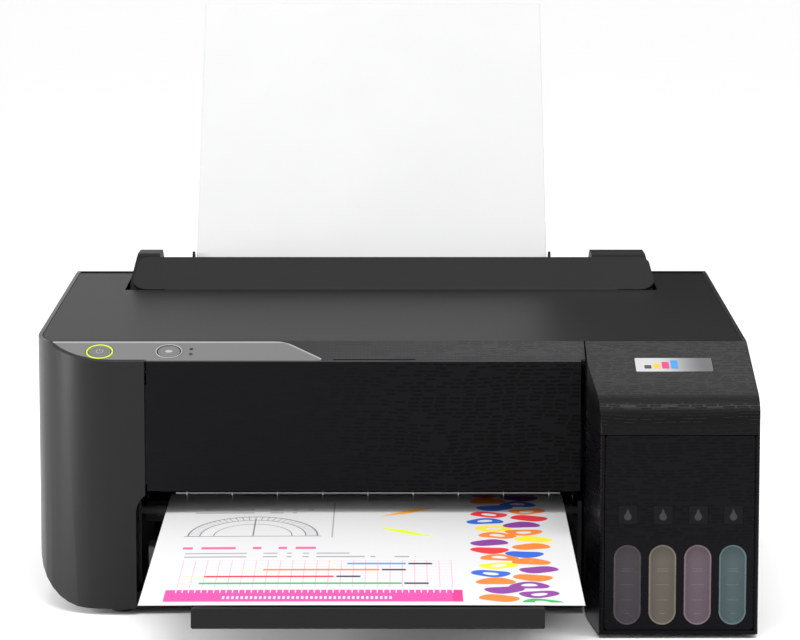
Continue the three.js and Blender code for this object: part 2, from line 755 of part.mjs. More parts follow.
function feedGear() {
  const wheel = sidePrism(gearOutline(gearTeeth, gearRadius), gearX, gearX + 5);
  const placed = wheel.translate([0, feedRollerY, feedRollerZ]);
  return cut(placed, rodX(shaftRadius + gap, gearX - 1, gearX + 6, feedRollerY, feedRollerZ, 16));
}

// Turned half a tooth, so that a gap faces the feed gear's first tooth.
function feedPinion() {
  const halfTooth = new THREE.Matrix4().makeRotationX(Math.PI / pinionTeeth + Math.PI);
  const wheel = moved(sidePrism(gearOutline(pinionTeeth, pinionRadius), gearX, gearX + 5), halfTooth);
  const shaft = rodX(1.5, gearX - 2, gearX + 1, 0, 0, 10);
  return join(wheel, shaft).translate([0, feedMotorY, feedRollerZ]);
}

function feedMotor() {
  const x1 = gearX - 2.5;
  return join(
    rodX(motorRadius, x1 - 24, x1, feedMotorY, feedRollerZ, 24),
    rodX(motorBossRadius, x1 - 26, x1, feedMotorY, feedRollerZ, 16),
  );
}

function pickupRoller() {
  const front = sheetStack / 2 + pickupRadius + gap;
  const axis = new THREE.Vector3(0, -90, front).applyMatrix4(onSheets);
  const x0 = feederLeftX + leftCheekWidth + gap;
  const x1 = feederRightX - rightCheekWidth - gap;
  return join(
    rodX(shaftRadius - 0.5, x0, x1, axis.y, axis.z, 12),
    rodX(pickupRadius, sheetMiddleX - 18, sheetMiddleX + 18, axis.y, axis.z, 24),
  );
}

function platen() {
  const x0 = frameLeftX + frameThickness + 2;
  const table = box(x0, frameRightX - 2, 33, 65, 44, pageZ(33) - 0.7);
  const grooves = [-3, -2, -1, 0, 1, 2, 3].map((i) => {
    const x = sheetMiddleX + i * sheetWidth / 7;
    return box(x - 6, x + 6, 37, 61, pageZ(33) - 2.2, 60);
  });
  return cut(table, ...grooves);
}

function carriageBeam() {
  const x0 = pulleyLeftX - 13;
  const x1 = pulleyRightX + 13;
  const web = box(x0, x1, beamY, beamY + beamThickness, 72, 120);
  const flange = box(x0, x1, beamY, beamY + 15, 118.5, 120);
  const lower = box(x0, x1, beamY, beamY + 8, 72, 73.5);
  return cut(join(web, flange, lower), rodY(2.4, 100, 130, pulleyRightX, pulleyZ, 12));
}

const beltRadius = pulleyRadius + beltThickness;
const beltY = beamY - 2.5 - beltWidth;

function beltOutline(radius) {
  const round = radius - 0.01;
  return outline([
    [pulleyLeftX - radius, pulleyZ - radius, round],
    [pulleyRightX + radius, pulleyZ - radius, round],
    [pulleyRightX + radius, pulleyZ + radius, round],
    [pulleyLeftX - radius, pulleyZ + radius, round],
  ]);
}

function timingBelt() {
  const inner = pulleyRadius + 0.3;
  return cut(frontPrism(beltOutline(beltRadius + 0.3), beltY, beltY + beltWidth),
    frontPrism(beltOutline(inner), beltY - 1, beltY + beltWidth + 1));
}

function motorPulley() {
  return join(rodY(pulleyRadius, beltY, beltY + beltWidth, pulleyRightX, pulleyZ, 16),
    rodY(1.6, beltY, beamY + 2.6, pulleyRightX, pulleyZ, 10));
}

function idlerPulley() {
  return join(rodY(pulleyRadius, beltY, beltY + beltWidth, pulleyLeftX, pulleyZ, 16),
    rodY(2, beltY, beamY - gap, pulleyLeftX, pulleyZ, 10));
}

function carriageMotor() {
  return join(
    rodY(motorRadius, beamY + 3, beamY + 29, pulleyRightX, pulleyZ, 24),
    rodY(motorBossRadius, beamY + 3, beamY + 31, pulleyRightX, pulleyZ, 16),
  );
}

function carriage() {
  const x0 = carriageX - carriageWidth / 2;
  const x1 = carriageX + carriageWidth / 2;
  const side = outline([[36, 72], [beamY - 1, 72], [beamY - 1, 112], [66, 116, 4], [36, 108, 6]]);
  const channel = beltRadius + 1.2;
  const belt = box(x0 - 1, x1 + 1, beltY - 1.2, beamY, pulleyZ - channel, pulleyZ + channel);
  return cut(sidePrism(side, x0, x1), belt);
}

function printHead() {
  const body = box(carriageX - 25, carriageX + 25, 40, 62, 62, 71.6);
  const nozzles = box(carriageX - 14, carriageX + 14, 43, 59, 58.6, 63);
  return join(body, nozzles);
}

function capStation() {
  const block = box(carriageX - 27, carriageX + 27, 36, 66, 12.6, 54);
  const pad = box(carriageX - 16, carriageX + 16, 41, 61, 50, 57.8);
  const well = box(carriageX - 13.5, carriageX + 13.5, 43.5, 58.5, 56, 60);
  return cut(join(block, pad), well);
}

function inkTubes() {
  const x0 = firstTankX - 6;
  const rise = box(x0, x0 + 16, tankRearY + 1, tankRearY + 4, 40, 121.5);
  const over = box(x0, x0 + 16, tankRearY + 1, beamY + 10, 120.5, 123.5);
  return join(rise, over);
}

function mainBoard() {
  const x = -halfWidth + wall + 3;
  const y0 = backY - 167;
  const plate = box(x, x + 1.6, y0, y0 + 128, 24, 112);
  const chips = [[20, 60, 22], [60, 40, 16], [85, 80, 14]].map(([y, z, side]) =>
    box(x + 1, x + 4.5, y0 + y, y0 + y + side, z, z + side));
  return join(plate, ...chips);
}

function powerSupply() {
  return box(halfWidth - 87.5, halfWidth - 11.5, socketY - 125, socketY - 1, 8, 62);
}

function wastePad() {
  return box(frameLeftX + 24, frameRightX - 19.5, beamY + 27, backY - 27, underside + wall + 0.7, 22);
}

function acInlet() {
  const block = box(inletX - inletWidth / 2, inletX + inletWidth / 2, socketY, backY - 0.3,
    inletZ, inletZ + inletHeight);
  const holes = [-1, 1].map((side) =>
    rodY(4.2, socketY + 5, backY + 3, inletX + side * 3.6, inletZ + inletHeight / 2, 16));
  return cut(block, join(...holes));
}

function usbPort() {
  const block = box(usbX - usbWidth / 2, usbX + usbWidth / 2, socketY, backY - 0.3, usbZ, usbZ + usbHeight);
  const mouth = box(usbX - usbWidth / 2 + 1.8, usbX + usbWidth / 2 - 1.8, socketY + 3, backY + 3,
    usbZ + 1.8, usbZ + usbHeight - 1.8);
  return cut(block, mouth);
}

function foot(x, y, top) {
  const profile = [[0, 0], [5.4, 0], [6, 0.7], [6, top], [0, top]].map((p) => new THREE.Vector2(...p));
  return solidOf(new THREE.LatheGeometry(profile, 20).rotateX(Math.PI / 2).translate(x, y, 0));
}

// Assembly -----------------------------------------------------------------------------------

const finishes = {
  casing: ['#2b2c2e', 0.5, 0],
  cover: ['#333436', 0.45, 0],
  panel: ['#7c7e80', 0.45, 0],
  button: ['#8f9193', 0.45, 0],
  light: ['#c3d94a', 0.4, 0],
  gloss: ['#15161a', 0.12, 0],
  frame: ['#a9acb0', 0.35, 1],
  dark: ['#1c1d20', 0.6, 0],
  rubber: ['#191919', 0.9, 0],
  gear: ['#d9d6cc', 0.5, 0],
  board: ['#1f6b3a', 0.6, 0],
  paper: ['#eeeeee', 0.9, 0],
  badge: ['#c9ccd0', 0.3, 0.6],
  felt: ['#e6e3da', 1, 0],
  black: ['#3c3540', 0.2, 0],
  yellow: ['#75684e', 0.2, 0],
  magenta: ['#7c5a6c', 0.2, 0],
  cyan: ['#4c6a7c', 0.2, 0],
};

const printer = new THREE.Group();

function add(name, finish, solid) {
  const [color, roughness, metalness] = finishes[finish];
  const material = new THREE.MeshStandardMaterial({ color, roughness, metalness });
  const mesh = new THREE.Mesh(geometryOf(solid), material);
  mesh.name = name;
  printer.add(mesh);
}

add('base_tray', 'dark', baseTray());
add('left_casing', 'casing', leftCasing());
add('right_casing', 'casing', rightCasing());
add('rear_cover', 'casing', rearCover());
add('printer_cover', 'cover', printerCover());
add('control_panel', 'panel', controlPanel());
add('power_ring', 'light', powerRing());
add('power_button', 'button', stripRod(buttonRadius, powerButtonX, -buttonDepth, 0));
add('feed_button', 'button', stripRod(buttonRadius, feedButtonX, -buttonDepth, 0));
add('feeder_frame', 'dark', feederFrame());
add('feeder_guard', 'casing', feederGuard());
add('edge_guide_left', 'dark', edgeGuide(-1));
add('edge_guide_right', 'dark', edgeGuide(1));
add('guide_pinion', 'gear', guidePinion());
add('paper_support', 'dark', paperSupport());
add('support_extension', 'dark', supportExtension());
add('loaded_sheets', 'paper', loadedSheets());
add('output_tray', 'dark', outputTray());
add('tray_extension', 'dark', trayExtension());
add('tray_stopper', 'dark', trayStopper());
add('printed_page', 'paper', printedPage());
add('tank_housing', 'gloss', tankHousing());
add('tank_front_panel', 'gloss', tankFrontPanel());
add('tank_lid', 'casing', tankLid());
add('badge_plate', 'badge', badgeSpace(0));
['black', 'yellow', 'magenta', 'cyan'].forEach((ink, i) => {
  add(`ink_tank_${ink}`, ink, inkTank(i));
  add(`tank_cap_${ink}`, ink, tankCap(i));
});
add('side_frame_left', 'frame', sideFrame(frameLeftX));
add('side_frame_right', 'frame', sideFrame(frameRightX));
add('carriage_beam', 'frame', carriageBeam());
add('feed_roller', 'frame', feedRoller());
add('eject_roller', 'rubber', ejectRoller());
add('feed_gear', 'gear', feedGear());
add('feed_pinion', 'gear', feedPinion());
add('feed_motor', 'frame', feedMotor());
add('pickup_roller', 'rubber', pickupRoller());
add('platen', 'dark', platen());
add('carriage', 'dark', carriage());
add('print_head', 'dark', printHead());
add('timing_belt', 'rubber', timingBelt());
add('motor_pulley', 'gear', motorPulley());
add('idler_pulley', 'gear', idlerPulley());
add('carriage_motor', 'frame', carriageMotor());
add('cap_station', 'dark', capStation());
add('ink_tubes', 'dark', inkTubes());
add('main_board', 'board', mainBoard());
add('power_supply', 'dark', powerSupply());
add('waste_ink_pad', 'felt', wastePad());
add('ac_inlet', 'dark', acInlet());
add('usb_port', 'frame', usbPort());
add('foot_front_left', 'rubber', foot(-halfWidth + 45.5, 14, underside - 0.3));
add('foot_front_right', 'rubber', foot(halfWidth - 37.5, -34, tankFloorZ - 0.3));
add('foot_rear_left', 'rubber', foot(-halfWidth + 45.5, backY - 21, underside - 0.3));
add('foot_rear_right', 'rubber', foot(halfWidth - 27.5, backY - 21, underside - 0.3));

const extent = new THREE.Box3().setFromObject(printer);
const middle = extent.getCenter(new THREE.Vector3());
printer.position.set(-middle.x, -middle.y, -extent.min.z);

export default printer;
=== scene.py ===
import json
import math
import bmesh
import bpy
from mathutils import Matrix, Vector


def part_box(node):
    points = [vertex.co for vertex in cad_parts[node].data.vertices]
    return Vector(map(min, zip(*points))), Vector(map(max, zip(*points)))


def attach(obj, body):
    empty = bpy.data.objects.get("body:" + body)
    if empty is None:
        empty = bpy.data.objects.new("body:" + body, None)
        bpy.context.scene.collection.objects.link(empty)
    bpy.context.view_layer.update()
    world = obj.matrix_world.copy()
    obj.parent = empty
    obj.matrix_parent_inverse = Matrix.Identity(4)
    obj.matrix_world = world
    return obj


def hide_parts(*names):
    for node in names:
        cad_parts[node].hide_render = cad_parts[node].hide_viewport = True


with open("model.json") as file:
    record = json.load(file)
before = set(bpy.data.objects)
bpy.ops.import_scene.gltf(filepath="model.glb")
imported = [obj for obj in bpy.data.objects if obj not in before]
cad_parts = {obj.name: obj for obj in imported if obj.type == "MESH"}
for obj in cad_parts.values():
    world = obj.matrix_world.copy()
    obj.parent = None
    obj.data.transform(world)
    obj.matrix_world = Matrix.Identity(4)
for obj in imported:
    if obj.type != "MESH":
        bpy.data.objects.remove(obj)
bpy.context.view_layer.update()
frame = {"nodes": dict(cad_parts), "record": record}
bodyOf = {node: body for body, nodes in frame["record"]["behaviour"]["bodies"].items() for node in nodes}
slotOf = {row["node"]: row["material_slot"] for row in frame["record"]["subparts"]}
mm = 0.001
print("frame loaded:", len(frame["nodes"]), "nodes")

# camera and studio light
camera = {"place": (0.00504, -1.80676, 0.3787), "pitchDown": 7.4, "lens": 149.15, "sensor": 36}
cameraData = bpy.data.cameras.new("camera")
cameraData.lens = camera["lens"]
cameraData.sensor_width = camera["sensor"]
cameraObject = bpy.data.objects.new("camera", cameraData)
cameraObject.location = camera["place"]
cameraObject.rotation_euler = (math.radians(90 - camera["pitchDown"]), 0, 0)
bpy.context.collection.objects.link(cameraObject)
bpy.context.scene.camera = cameraObject

studio = {
    "softboxLeft": {"place": (-1.9, -0.55, 0.35), "target": (-0.15, -0.05, 0.08), "size": (0.3, 1.0),
                    "power": 41},
    "softboxRight": {"place": (1.9, -0.6, 1.1), "target": (0.1, 0, 0.1), "size": (0.6, 1.2), "power": 3},
    "softboxRear": {"place": (-1.7, 1.3, 0.5), "target": (-0.15, 0.0, 0.15), "size": (0.7, 0.6),
                    "power": 8},
    "softboxOver": {"place": (0.2, -0.62, 1.5), "target": (0.1, -0.12, 0.12), "size": (1.3, 0.3),
                    "power": 15},
}
room = {"colour": (1, 1, 1, 1), "strength": 1.02, "floorSize": 60, "floorColour": (0.96, 0.96, 0.96, 1)}


def addSoftbox(name, place, target, size, power):
    light = bpy.data.lights.new(name, "AREA")
    light.shape = "RECTANGLE"
    light.size, light.size_y = size
    light.energy = power
    box = bpy.data.objects.new(name, light)
    box.location = place
    box.rotation_euler = (Vector(target) - Vector(place)).to_track_quat("-Z", "Y").to_euler()
    bpy.context.collection.objects.link(box)


for name, box in studio.items():
    addSoftbox(name, **box)


# a black card behind the right side keeps the top cover from going pale there
card = {"place": (0.91, 1.5, 0.5), "size": (2.06, 0.8, 1), "turn": (math.pi / 2, 0, math.radians(-18))}
bpy.ops.mesh.primitive_plane_add(size=1, location=card["place"], rotation=card["turn"], scale=card["size"])
blackCard = bpy.context.object
blackCard.name = "blackCard"
blackCard.scale = card["size"]
blackCard.visible_camera = False
blackCard.visible_shadow = False
blackCard.visible_diffuse = False
world = bpy.data.worlds.new("paleRoom")
world.use_nodes = True
world.node_tree.nodes["Background"].inputs["Color"].default_value = room["colour"]
world.node_tree.nodes["Background"].inputs["Strength"].default_value = room["strength"]
bpy.context.scene.world = world
bpy.context.scene.view_settings.view_transform = "Standard"
print("camera and light set")


# shader maths: a Wire is one output socket, and expressions on it add nodes
class Wire:
    def __init__(self, tree, socket=None):
        self.tree = tree
        self.socket = socket

    def node(self, kind, settings=None, sockets=None, out=0):
        made = self.tree.nodes.new("ShaderNode" + kind)
        for key, value in (settings or {}).items():
            if key == "stops":
                stops = made.color_ramp.elements
                while len(stops) < len(value):
                    stops.new(0.5)
                for stop, (place, colour) in zip(stops, value):
                    stop.position = place
                    stop.color = colour
            else:
                setattr(made, key, value)
        for key, value in (sockets or {}).items():
            if isinstance(value, Wire):
                self.tree.links.new(value.socket, made.inputs[key])
            else:
                made.inputs[key].default_value = value
        return Wire(self.tree, made.outputs[out])

    def maths(self, operation, *values):
        return self.node("Math", {"operation": operation}, dict(enumerate(values)))

    def __add__(self, other):
        return self.maths("ADD", self, other)

    def __radd__(self, other):
        return self.maths("ADD", other, self)

    def __sub__(self, other):
        return self.maths("SUBTRACT", self, other)

    def __rsub__(self, other):
        return self.maths("SUBTRACT", other, self)

    def __mul__(self, other):
        return self.maths("MULTIPLY", self, other)

    def __rmul__(self, other):
        return self.maths("MULTIPLY", other, self)

    def __truediv__(self, other):
        return self.maths("DIVIDE", self, other)

    def __abs__(self):
        return self.maths("ABSOLUTE", self)

    def __gt__(self, other):
        return self.maths("GREATER_THAN", self, other)

    def __lt__(self, other):
        return self.maths("LESS_THAN", self, other)

    def most(self, other):
        return self.maths("MAXIMUM", self, other)

    def sine(self):
        return self.maths("SINE", self)

    def root(self):
        return self.maths("SQRT", self)

    def whole(self):
        return self.maths("FLOOR", self)

    def fraction(self):
        return self.maths("FRACT", self)

    def scatter(self):
        return ((self * 12.9898).sine() * 437.585).fraction()

    def fade(self, low, high, first=0.0, last=1.0):
        return self.node("MapRange", {"interpolation_type": "SMOOTHSTEP"},
                         {0: self, 1: low, 2: high, 3: first, 4: last})

    def place(self):
        return self.node("TexCoord", out=3)

    def noise(self, scale, detail=2.0):
        return self.node("TexNoise", {}, {"Vector": self.place(), "Scale": scale, "Detail": detail})

    # the three coordinates in millimetres
    def axes(self):
        split = self.node("SeparateXYZ", {}, {0: self.place()})
        return [Wire(self.tree, out) * 1000 for out in split.socket.node.outputs]

    def mix(self, factor, first, second):
        return self.node("Mix", {"data_type": "RGBA"}, {0: factor, 6: first, 7: second}, out=2)

    def bump(self, height, depth):
        return self.node("Bump", {}, {"Height": height, "Distance": depth})


def grey(value, blue=1.0):
    return (value, value, value * blue, 1)


def lighter(colour, times):
    return tuple(min(1, c * times) for c in colour[:3]) + (1,)


# a finish has constants on its shader, and a function that wires what varies over the surface
def finish(name, wires, **constants):
    material = bpy.data.materials.new(name)
    material.use_nodes = True
    tree = material.node_tree
    shader = next(n for n in tree.nodes if n.type == "BSDF_PRINCIPLED")
    for key, value in constants.items():
        shader.inputs[key.replace("_", " ")].default_value = value
    for key, wire in wires(Wire(tree)).items():
        tree.links.new(wire.socket, shader.inputs[key])
    return material


# moulded plastic: fine grain from the tool, slow changes of sheen
def moulded(name, colour, roughness, grain=0.00006, grainScale=2600, variation=0.15, **constants):
    def wires(w):
        fine = w.noise(grainScale, 3)
        slow = w.noise(14, 3)
        return {"Base Color": w.mix(slow.fade(0.3, 0.7) * variation, colour, lighter(colour, 1.6)),
                "Roughness": roughness + (slow - 0.5) * 0.1 + (fine - 0.5) * 0.06,
                "Normal": w.bump(fine, grain)}
    return finish(name, wires, **constants)


# rows of short sunk dashes that drift in gentle waves, with painted shade in the dashes; rise adds the slope
# of a face to its height
def dashed(name, colour, roughness, rise, where, pitch=2.0, length=7.0, depth=0.00012, pale=None,
           **constants):
    def wires(w):
        x, y, z = w.axes()
        fine = w.noise(2600, 3)
        row = (z + y * rise) / pitch + ((x / 17).sine() + (x / 6.1 + z / 9).sine() * 0.4) * 0.35
        along = x / length + row.whole().scatter()
        bar = abs(row.fraction() - 0.5).fade(0.36, 0.2) * abs(along.fraction() - 0.5).fade(0.45, 0.33)
        kept = (along.whole() * 3.7 + row.whole() * 7.3).scatter() > 0.22
        reliefAndShade = bar * kept * where(x, y, z)
        # painted shade: the sunk dashes are darkened in colour as well as sunk by the bump
        look = w.mix(reliefAndShade * 0.8, colour, lighter(colour, 0.2))
        # painted sheen: inside the pale zone the colour turns to a lighter tone for the light that the
        # textured, upward face catches; the cells in it are the texture's own marks
        if pale:
            sheenZone, tone = pale
            cells = ((x / 1.9).fraction() < 0.62) * ((y / 2.7).fraction() < 0.5)
            cells = cells * ((x / 9.5).whole() * 2.3 + (y / 5.4).whole() * 5.1).scatter().fade(0.2, 0.5)
            look = w.mix(sheenZone(x, y, z), look, w.mix(cells * 0.5, tone, lighter(tone, 1.5)))
        return {"Base Color": look, "Roughness": roughness + reliefAndShade * 0.15 + (fine - 0.5) * 0.05,
                "Normal": w.bump(fine * 0.15 - reliefAndShade, depth)}
    return finish(name, wires, **constants)


# the strip behind the buttons: a painted highlight along its rear edge and its slanted end, and its colour
# darker towards its right end
def stripPlastic(name, colour, roughness):
    def wires(w):
        x, y, z = w.axes()
        # painted highlight: a pale line along the rear edge and the slanted end
        paintedEdgeHighlight = (y > -79.3).most(x + (y + 97.5) * 1.22 > -33.2)
        fine = w.noise(3000, 3)
        base = w.mix(x.fade(-176, -40) * 0.35, colour, lighter(colour, 0.72))
        return {"Base Color": w.mix(paintedEdgeHighlight * 0.85, base, lighter(colour, 2.4)),
                "Roughness": roughness + (fine - 0.5) * 0.06, "Normal": w.bump(fine, 0.00004)}
    return finish(name, wires)


# a rounded bar between two corners, as a mask
def bar(x, y, x0, x1, y0, y1, soft=0.25):
    along = abs(x - (x0 + x1) / 2).fade((x1 - x0) / 2, (x1 - x0) / 2 - soft)
    return along * abs(y - (y0 + y1) / 2).fade((y1 - y0) / 2, (y1 - y0) / 2 - soft)


page = {
    "front": -282, "pencilWidth": 3.4,
    "pencils": [(-103, 19, -242, (0.02, 0.35, 0.1, 1)), (-101, -14, -229, (0.6, 0.02, 0.05, 1)),
                (-73, 8, -216, (0.75, 0.2, 0.02, 1)), (-32, 21, -204, (0.03, 0.25, 0.65, 1))],
    "shapes": [(0.75, 0.18, 0.02, 1), (0.8, 0.62, 0.02, 1), (0.2, 0.03, 0.25, 1), (0.02, 0.1, 0.5, 1),
               (0.65, 0.02, 0.03, 1), (0.03, 0.35, 0.07, 1)],
    "words": [(-190, -104, 13, 0.55), (-183, -104, -20, 0.5), (-88, -98, -40, 0.45), (-95, -103, -44, 0.45)],
    "kites": [(10, -92, 0.75, (0.8, 0.36, 0.03, 1)), (8, -138, -0.75, (0.62, 0.75, 0.03, 1))],
    "pink": (0.82, 0.05, 0.28, 1), "magenta": (0.75, 0.02, 0.2, 1), "ink": (0.03, 0.03, 0.04, 1),
}


# drawings only: a scale band, pencils over a grid, a half dial, two kites and a column of beads
def printedPaper(name, colour):
    def wires(w):
        x, y, z = w.axes()
        fibre = w.noise(1800, 3)
        look = w.mix(fibre * 0.06, colour, lighter(colour, 0.8))
        grid = bar(x, y, -106, 33, -250, -197) * ((x / 6).fraction() < 0.07).most((y / 6).fraction() < 0.05)
        look = w.mix(grid * 0.45, look, page["pink"])
        band = bar(x, y, -107, 35, -276, -254)
        look = w.mix(band, look, w.mix(x > 30, page["pink"], page["magenta"]))
        ticks = bar(x, y, -104, 32, -259.5, -254.4) * ((x / 3).fraction() < 0.14)
        numbers = bar(x, y, -80, 2, -271, -266) * ((x / 2.2).fraction() < 0.5)
        look = w.mix(ticks.most(numbers * 0.8), look, (0.95, 0.8, 0.88, 1))
        for x0, x1, middle, pencil in page["pencils"]:
            half = page["pencilWidth"] / 2
            look = w.mix(bar(x, y, x0, x0 + 12, middle - half * 0.6, middle + half * 0.6), look,
                         (0.8, 0.6, 0.36, 1))
            look = w.mix(bar(x, y, x0 + 11, x1 - 13, middle - half, middle + half), look, pencil)
            look = w.mix(bar(x, y, x1 - 12, x1, middle - half, middle + half), look, page["ink"])
        for y0, x0, x1, tone in page["words"]:
            words = ((x / 3.1 + (x / 9).sine()).whole().scatter() > 0.3) * bar(x, y, x0, x1, y0 - 1.3,
                                                                               y0 + 1.3)
            look = w.mix(words * tone, look, page["ink"])
        heading = ((x / 4.3).whole().scatter() > 0.25) * bar(x, y, -104, -37, -174.5, -169.5)
        look = w.mix(heading * 0.85, look, page["magenta"])
        u, v = x + 70, y + 146
        reach = (u * u + v * v * 0.62).root()
        dial = (abs(reach - 33) < 0.45).most(abs(reach - 27) < 0.35).most(abs(reach - 20) < 0.3)
        spokes = ((v / (abs(u) + 0.01)).maths("ARCTANGENT", v / (abs(u) + 0.01)) * 11.5).fraction() < 0.13
        rays = spokes * (reach > 27) * (reach < 33)
        dial = dial.most(rays) * (v > 0)
        base = bar(x, y, -105, -35, -147.6, -146.2).most(bar(x, y, -70.4, -69.4, -146, -108))
        look = w.mix(dial.most(base) * 0.75, look, page["ink"])
        look = w.mix(bar(x, y, -30, -29, -150, -72) * 0.5, look, page["ink"])
        for middleX, middleY, lean, kite in page["kites"]:
            across, up = x - middleX, y - middleY
            shape = (abs(up - across * lean) * 1.3 + abs(across) * 0.35) < 5.5
            look = w.mix(shape * (abs(across) < 15), look, kite)
        step, lift = 15.5, 5
        row = (y - page["front"] - lift) / step
        for side, middle in enumerate((52, 70)):
            cell = (row + side * 0.5).whole()
            offsetX = (cell * 1.7 + side).sine() * 3
            du = (x - middle - offsetX) / 11
            dv = ((row + side * 0.5).fraction() - 0.5) * 2.1
            wobble = (du * 3.1 + cell * 2.3).sine() * 0.18
            spread = (du * du + (dv + wobble) * (dv + wobble)).root()
            hole = (cell * 5.1 + side).scatter().fade(0.45, 0.55) * 0.36
            bead = (spread < 0.88) * (spread > hole)
            bead = bead * (row > 0) * (row < 14.3)
            paint = w.node("ValToRGB", {"stops": [(i / 6, c) for i, c in enumerate(page["shapes"])]},
                           {0: (cell * 2.7 + side * 3.3).scatter()})
            paint.socket.node.color_ramp.interpolation = "CONSTANT"
            look = w.mix(bead, look, paint)
        return {"Base Color": look, "Roughness": 0.62 + fibre * 0.1, "Normal": w.bump(fibre, 0.00003)}
    return finish(name, wires)


# tank window: pale rim, lighter middle, darker towards the top of the ink
def tankWindow(name, colour, middleX, low, high, width):
    def wires(w):
        x, y, z = w.axes()
        half = width / 2
        dx, dz = abs(x - middleX), (abs(z - (low + high) / 2) - ((high - low) / 2 - half)).most(0)
        reach = (dx * dx + dz * dz).root()
        rim = reach.fade(half - 1.1, half - 0.6)
        body = w.mix(dx.fade(0, half) * 0.5, colour, lighter(colour, 0.6))
        body = w.mix((z - high).fade(-9, -2) * 0.55, body, lighter(colour, 0.45))
        return {"Base Color": w.mix(rim * 0.6, body, lighter(colour, 2.3)),
                "Roughness": 0.24 + w.noise(60) * 0.08, "Normal": w.bump(w.noise(900), 0.00002)}
    return finish(name, wires, Specular_IOR_Level=0.3)


# a metal finish whose colour runs from light at x0 to dark at x1: a painted sheen across the plate
def metalWithPaintedSheen(name, dark, light, x0, x1):
    def wires(w):
        x, y, z = w.axes()
        stretched = w.node("Mapping", {}, {"Vector": w.place(), "Scale": (20, 900, 900)})
        brushed = w.node("TexNoise", {}, {"Vector": stretched, "Scale": 3.0})
        return {"Base Color": w.mix(x.fade(x0, x1), light, dark), "Roughness": 0.3 + brushed * 0.12,
                "Normal": w.bump(brushed, 0.00002)}
    return finish(name, wires, Metallic=0.35)


frontOnly = -77.6
finishes = {
    "casing": moulded("satinCasing", grey(0.0075, 1.06), 0.35, Specular_IOR_Level=0.21),
    # cover: painted shade in its sunk dashes, and the textured strip at the top of its front painted a
    # lighter tone, a painted sheen
    "cover": dashed("grainedCover", grey(0.0034, 1.25), 0.42, 0.665,
                    lambda x, y, z: (y < frontOnly) * x.fade(-60, 30, 0.15, 1.0),
                    pale=(lambda x, y, z: (y < frontOnly) * (z > 134.7), grey(0.028)),
                    Specular_IOR_Level=0.075),
    # lid: painted shade in its sunk dashes, and its upper front painted a lighter tone, a painted sheen
    # where the sloping top faces the light
    "lid": dashed("lidPlastic", grey(0.0022, 1.2), 0.32, 0.75, lambda x, y, z: z.fade(104, 112, 0.5, 1),
                  pale=(lambda x, y, z: z.fade(118, 131) * (y < frontOnly), grey(0.012, 1.05)),
                  Specular_IOR_Level=0.12),
    "panel": stripPlastic("lightStrip", grey(0.115), 0.42),
    "button": moulded("buttonPlastic", grey(0.105), 0.40, grain=0.00003),
    "inner": moulded("innerPlastic", grey(0.006, 1.1), 0.5, Specular_IOR_Level=0.12),
    "tray": moulded("trayPlastic", grey(0.0075, 1.06), 0.46, Specular_IOR_Level=0.15),
    "gear": moulded("gearNylon", (0.62, 0.6, 0.55, 1), 0.45),
    "rubber": moulded("rubber", grey(0.02), 0.72, grain=0.00012, grainScale=1500),
    "felt": moulded("felt", (0.55, 0.54, 0.5, 1), 0.95, grain=0.0004, grainScale=900),
    "board": moulded("circuitBoard", (0.01, 0.09, 0.035, 1), 0.35, variation=0.4),
    "light": finish("ringLight", lambda w: {"Base Color": w.mix(w.noise(300).fade(0.4, 0.6) * 0.2,
                    (0.42, 0.55, 0.02, 1), (0.6, 0.7, 0.05, 1))},
                    Roughness=0.3, Emission_Color=(0.42, 0.62, 0.05, 1), Emission_Strength=0.3),
    # tank front: painted shade in its sunk dashes
    "gloss": dashed("smokedGloss", (0.0022, 0.0018, 0.003, 1), 0.24, 0.0, lambda x, y,
                    z: z.fade(46, 60, 0.2, 0.8),
                    pitch=1.7, length=9, depth=0.0001, Specular_IOR_Level=0.08),
    "steel": moulded("zincSteel", (0.55, 0.56, 0.57, 1), 0.32, grain=0.00002, Metallic=1.0),
    "paper": moulded("paper", (0.49, 0.492, 0.495, 1), 0.75, grain=0.00003, grainScale=1800,
                     variation=0.05),
    "badge": metalWithPaintedSheen("badgeSilver", (0.1, 0.1, 0.105, 1), (0.5, 0.5, 0.51, 1), 135, 164),
    "ink_black": moulded("tankBlack", (0.03, 0.026, 0.033, 1), 0.2),
    "ink_yellow": moulded("tankYellow", (0.075, 0.065, 0.03, 1), 0.2),
    "ink_magenta": moulded("tankMagenta", (0.08, 0.035, 0.055, 1), 0.2),
    "ink_cyan": moulded("tankCyan", (0.03, 0.06, 0.085, 1), 0.2),
}
finishes["blackSteel"] = moulded("blackSteel", grey(0.012), 0.4, Specular_IOR_Level=0.2)
capColours = {"black": (0.012, 0.012, 0.014, 1), "yellow": (0.72, 0.46, 0.01, 1),
              "magenta": (0.55, 0.01, 0.16, 1),
              "cyan": (0.005, 0.2, 0.5, 1)}
for ink, colour in capColours.items():
    finishes["tank_cap_" + ink] = moulded("cap" + ink.capitalize(), colour, 0.35)
otherFinish = {"side_frame_left": "blackSteel", "side_frame_right": "blackSteel",
               "tank_cap_black": "tank_cap_black",
               "tank_cap_yellow": "tank_cap_yellow", "tank_cap_magenta": "tank_cap_magenta",
               "tank_cap_cyan": "tank_cap_cyan", "tray_stopper": "tray", "output_tray": "tray",
               "tray_extension": "tray"}
blackCard.data.materials.append(moulded("cardBlack", grey(0.004), 0.9, Specular_IOR_Level=0.0))
for node, shape in frame["nodes"].items():
    shape.data.materials.clear()
    shape.data.materials.append(finishes[otherFinish.get(node, slotOf[node])])
print("finishes made:", len(finishes))


# modelling steps, each on one piece at a time
def clearSelection():
    if bpy.context.mode != "OBJECT":
        bpy.ops.object.mode_set(mode="OBJECT")
    bpy.ops.object.select_all(action="DESELECT")


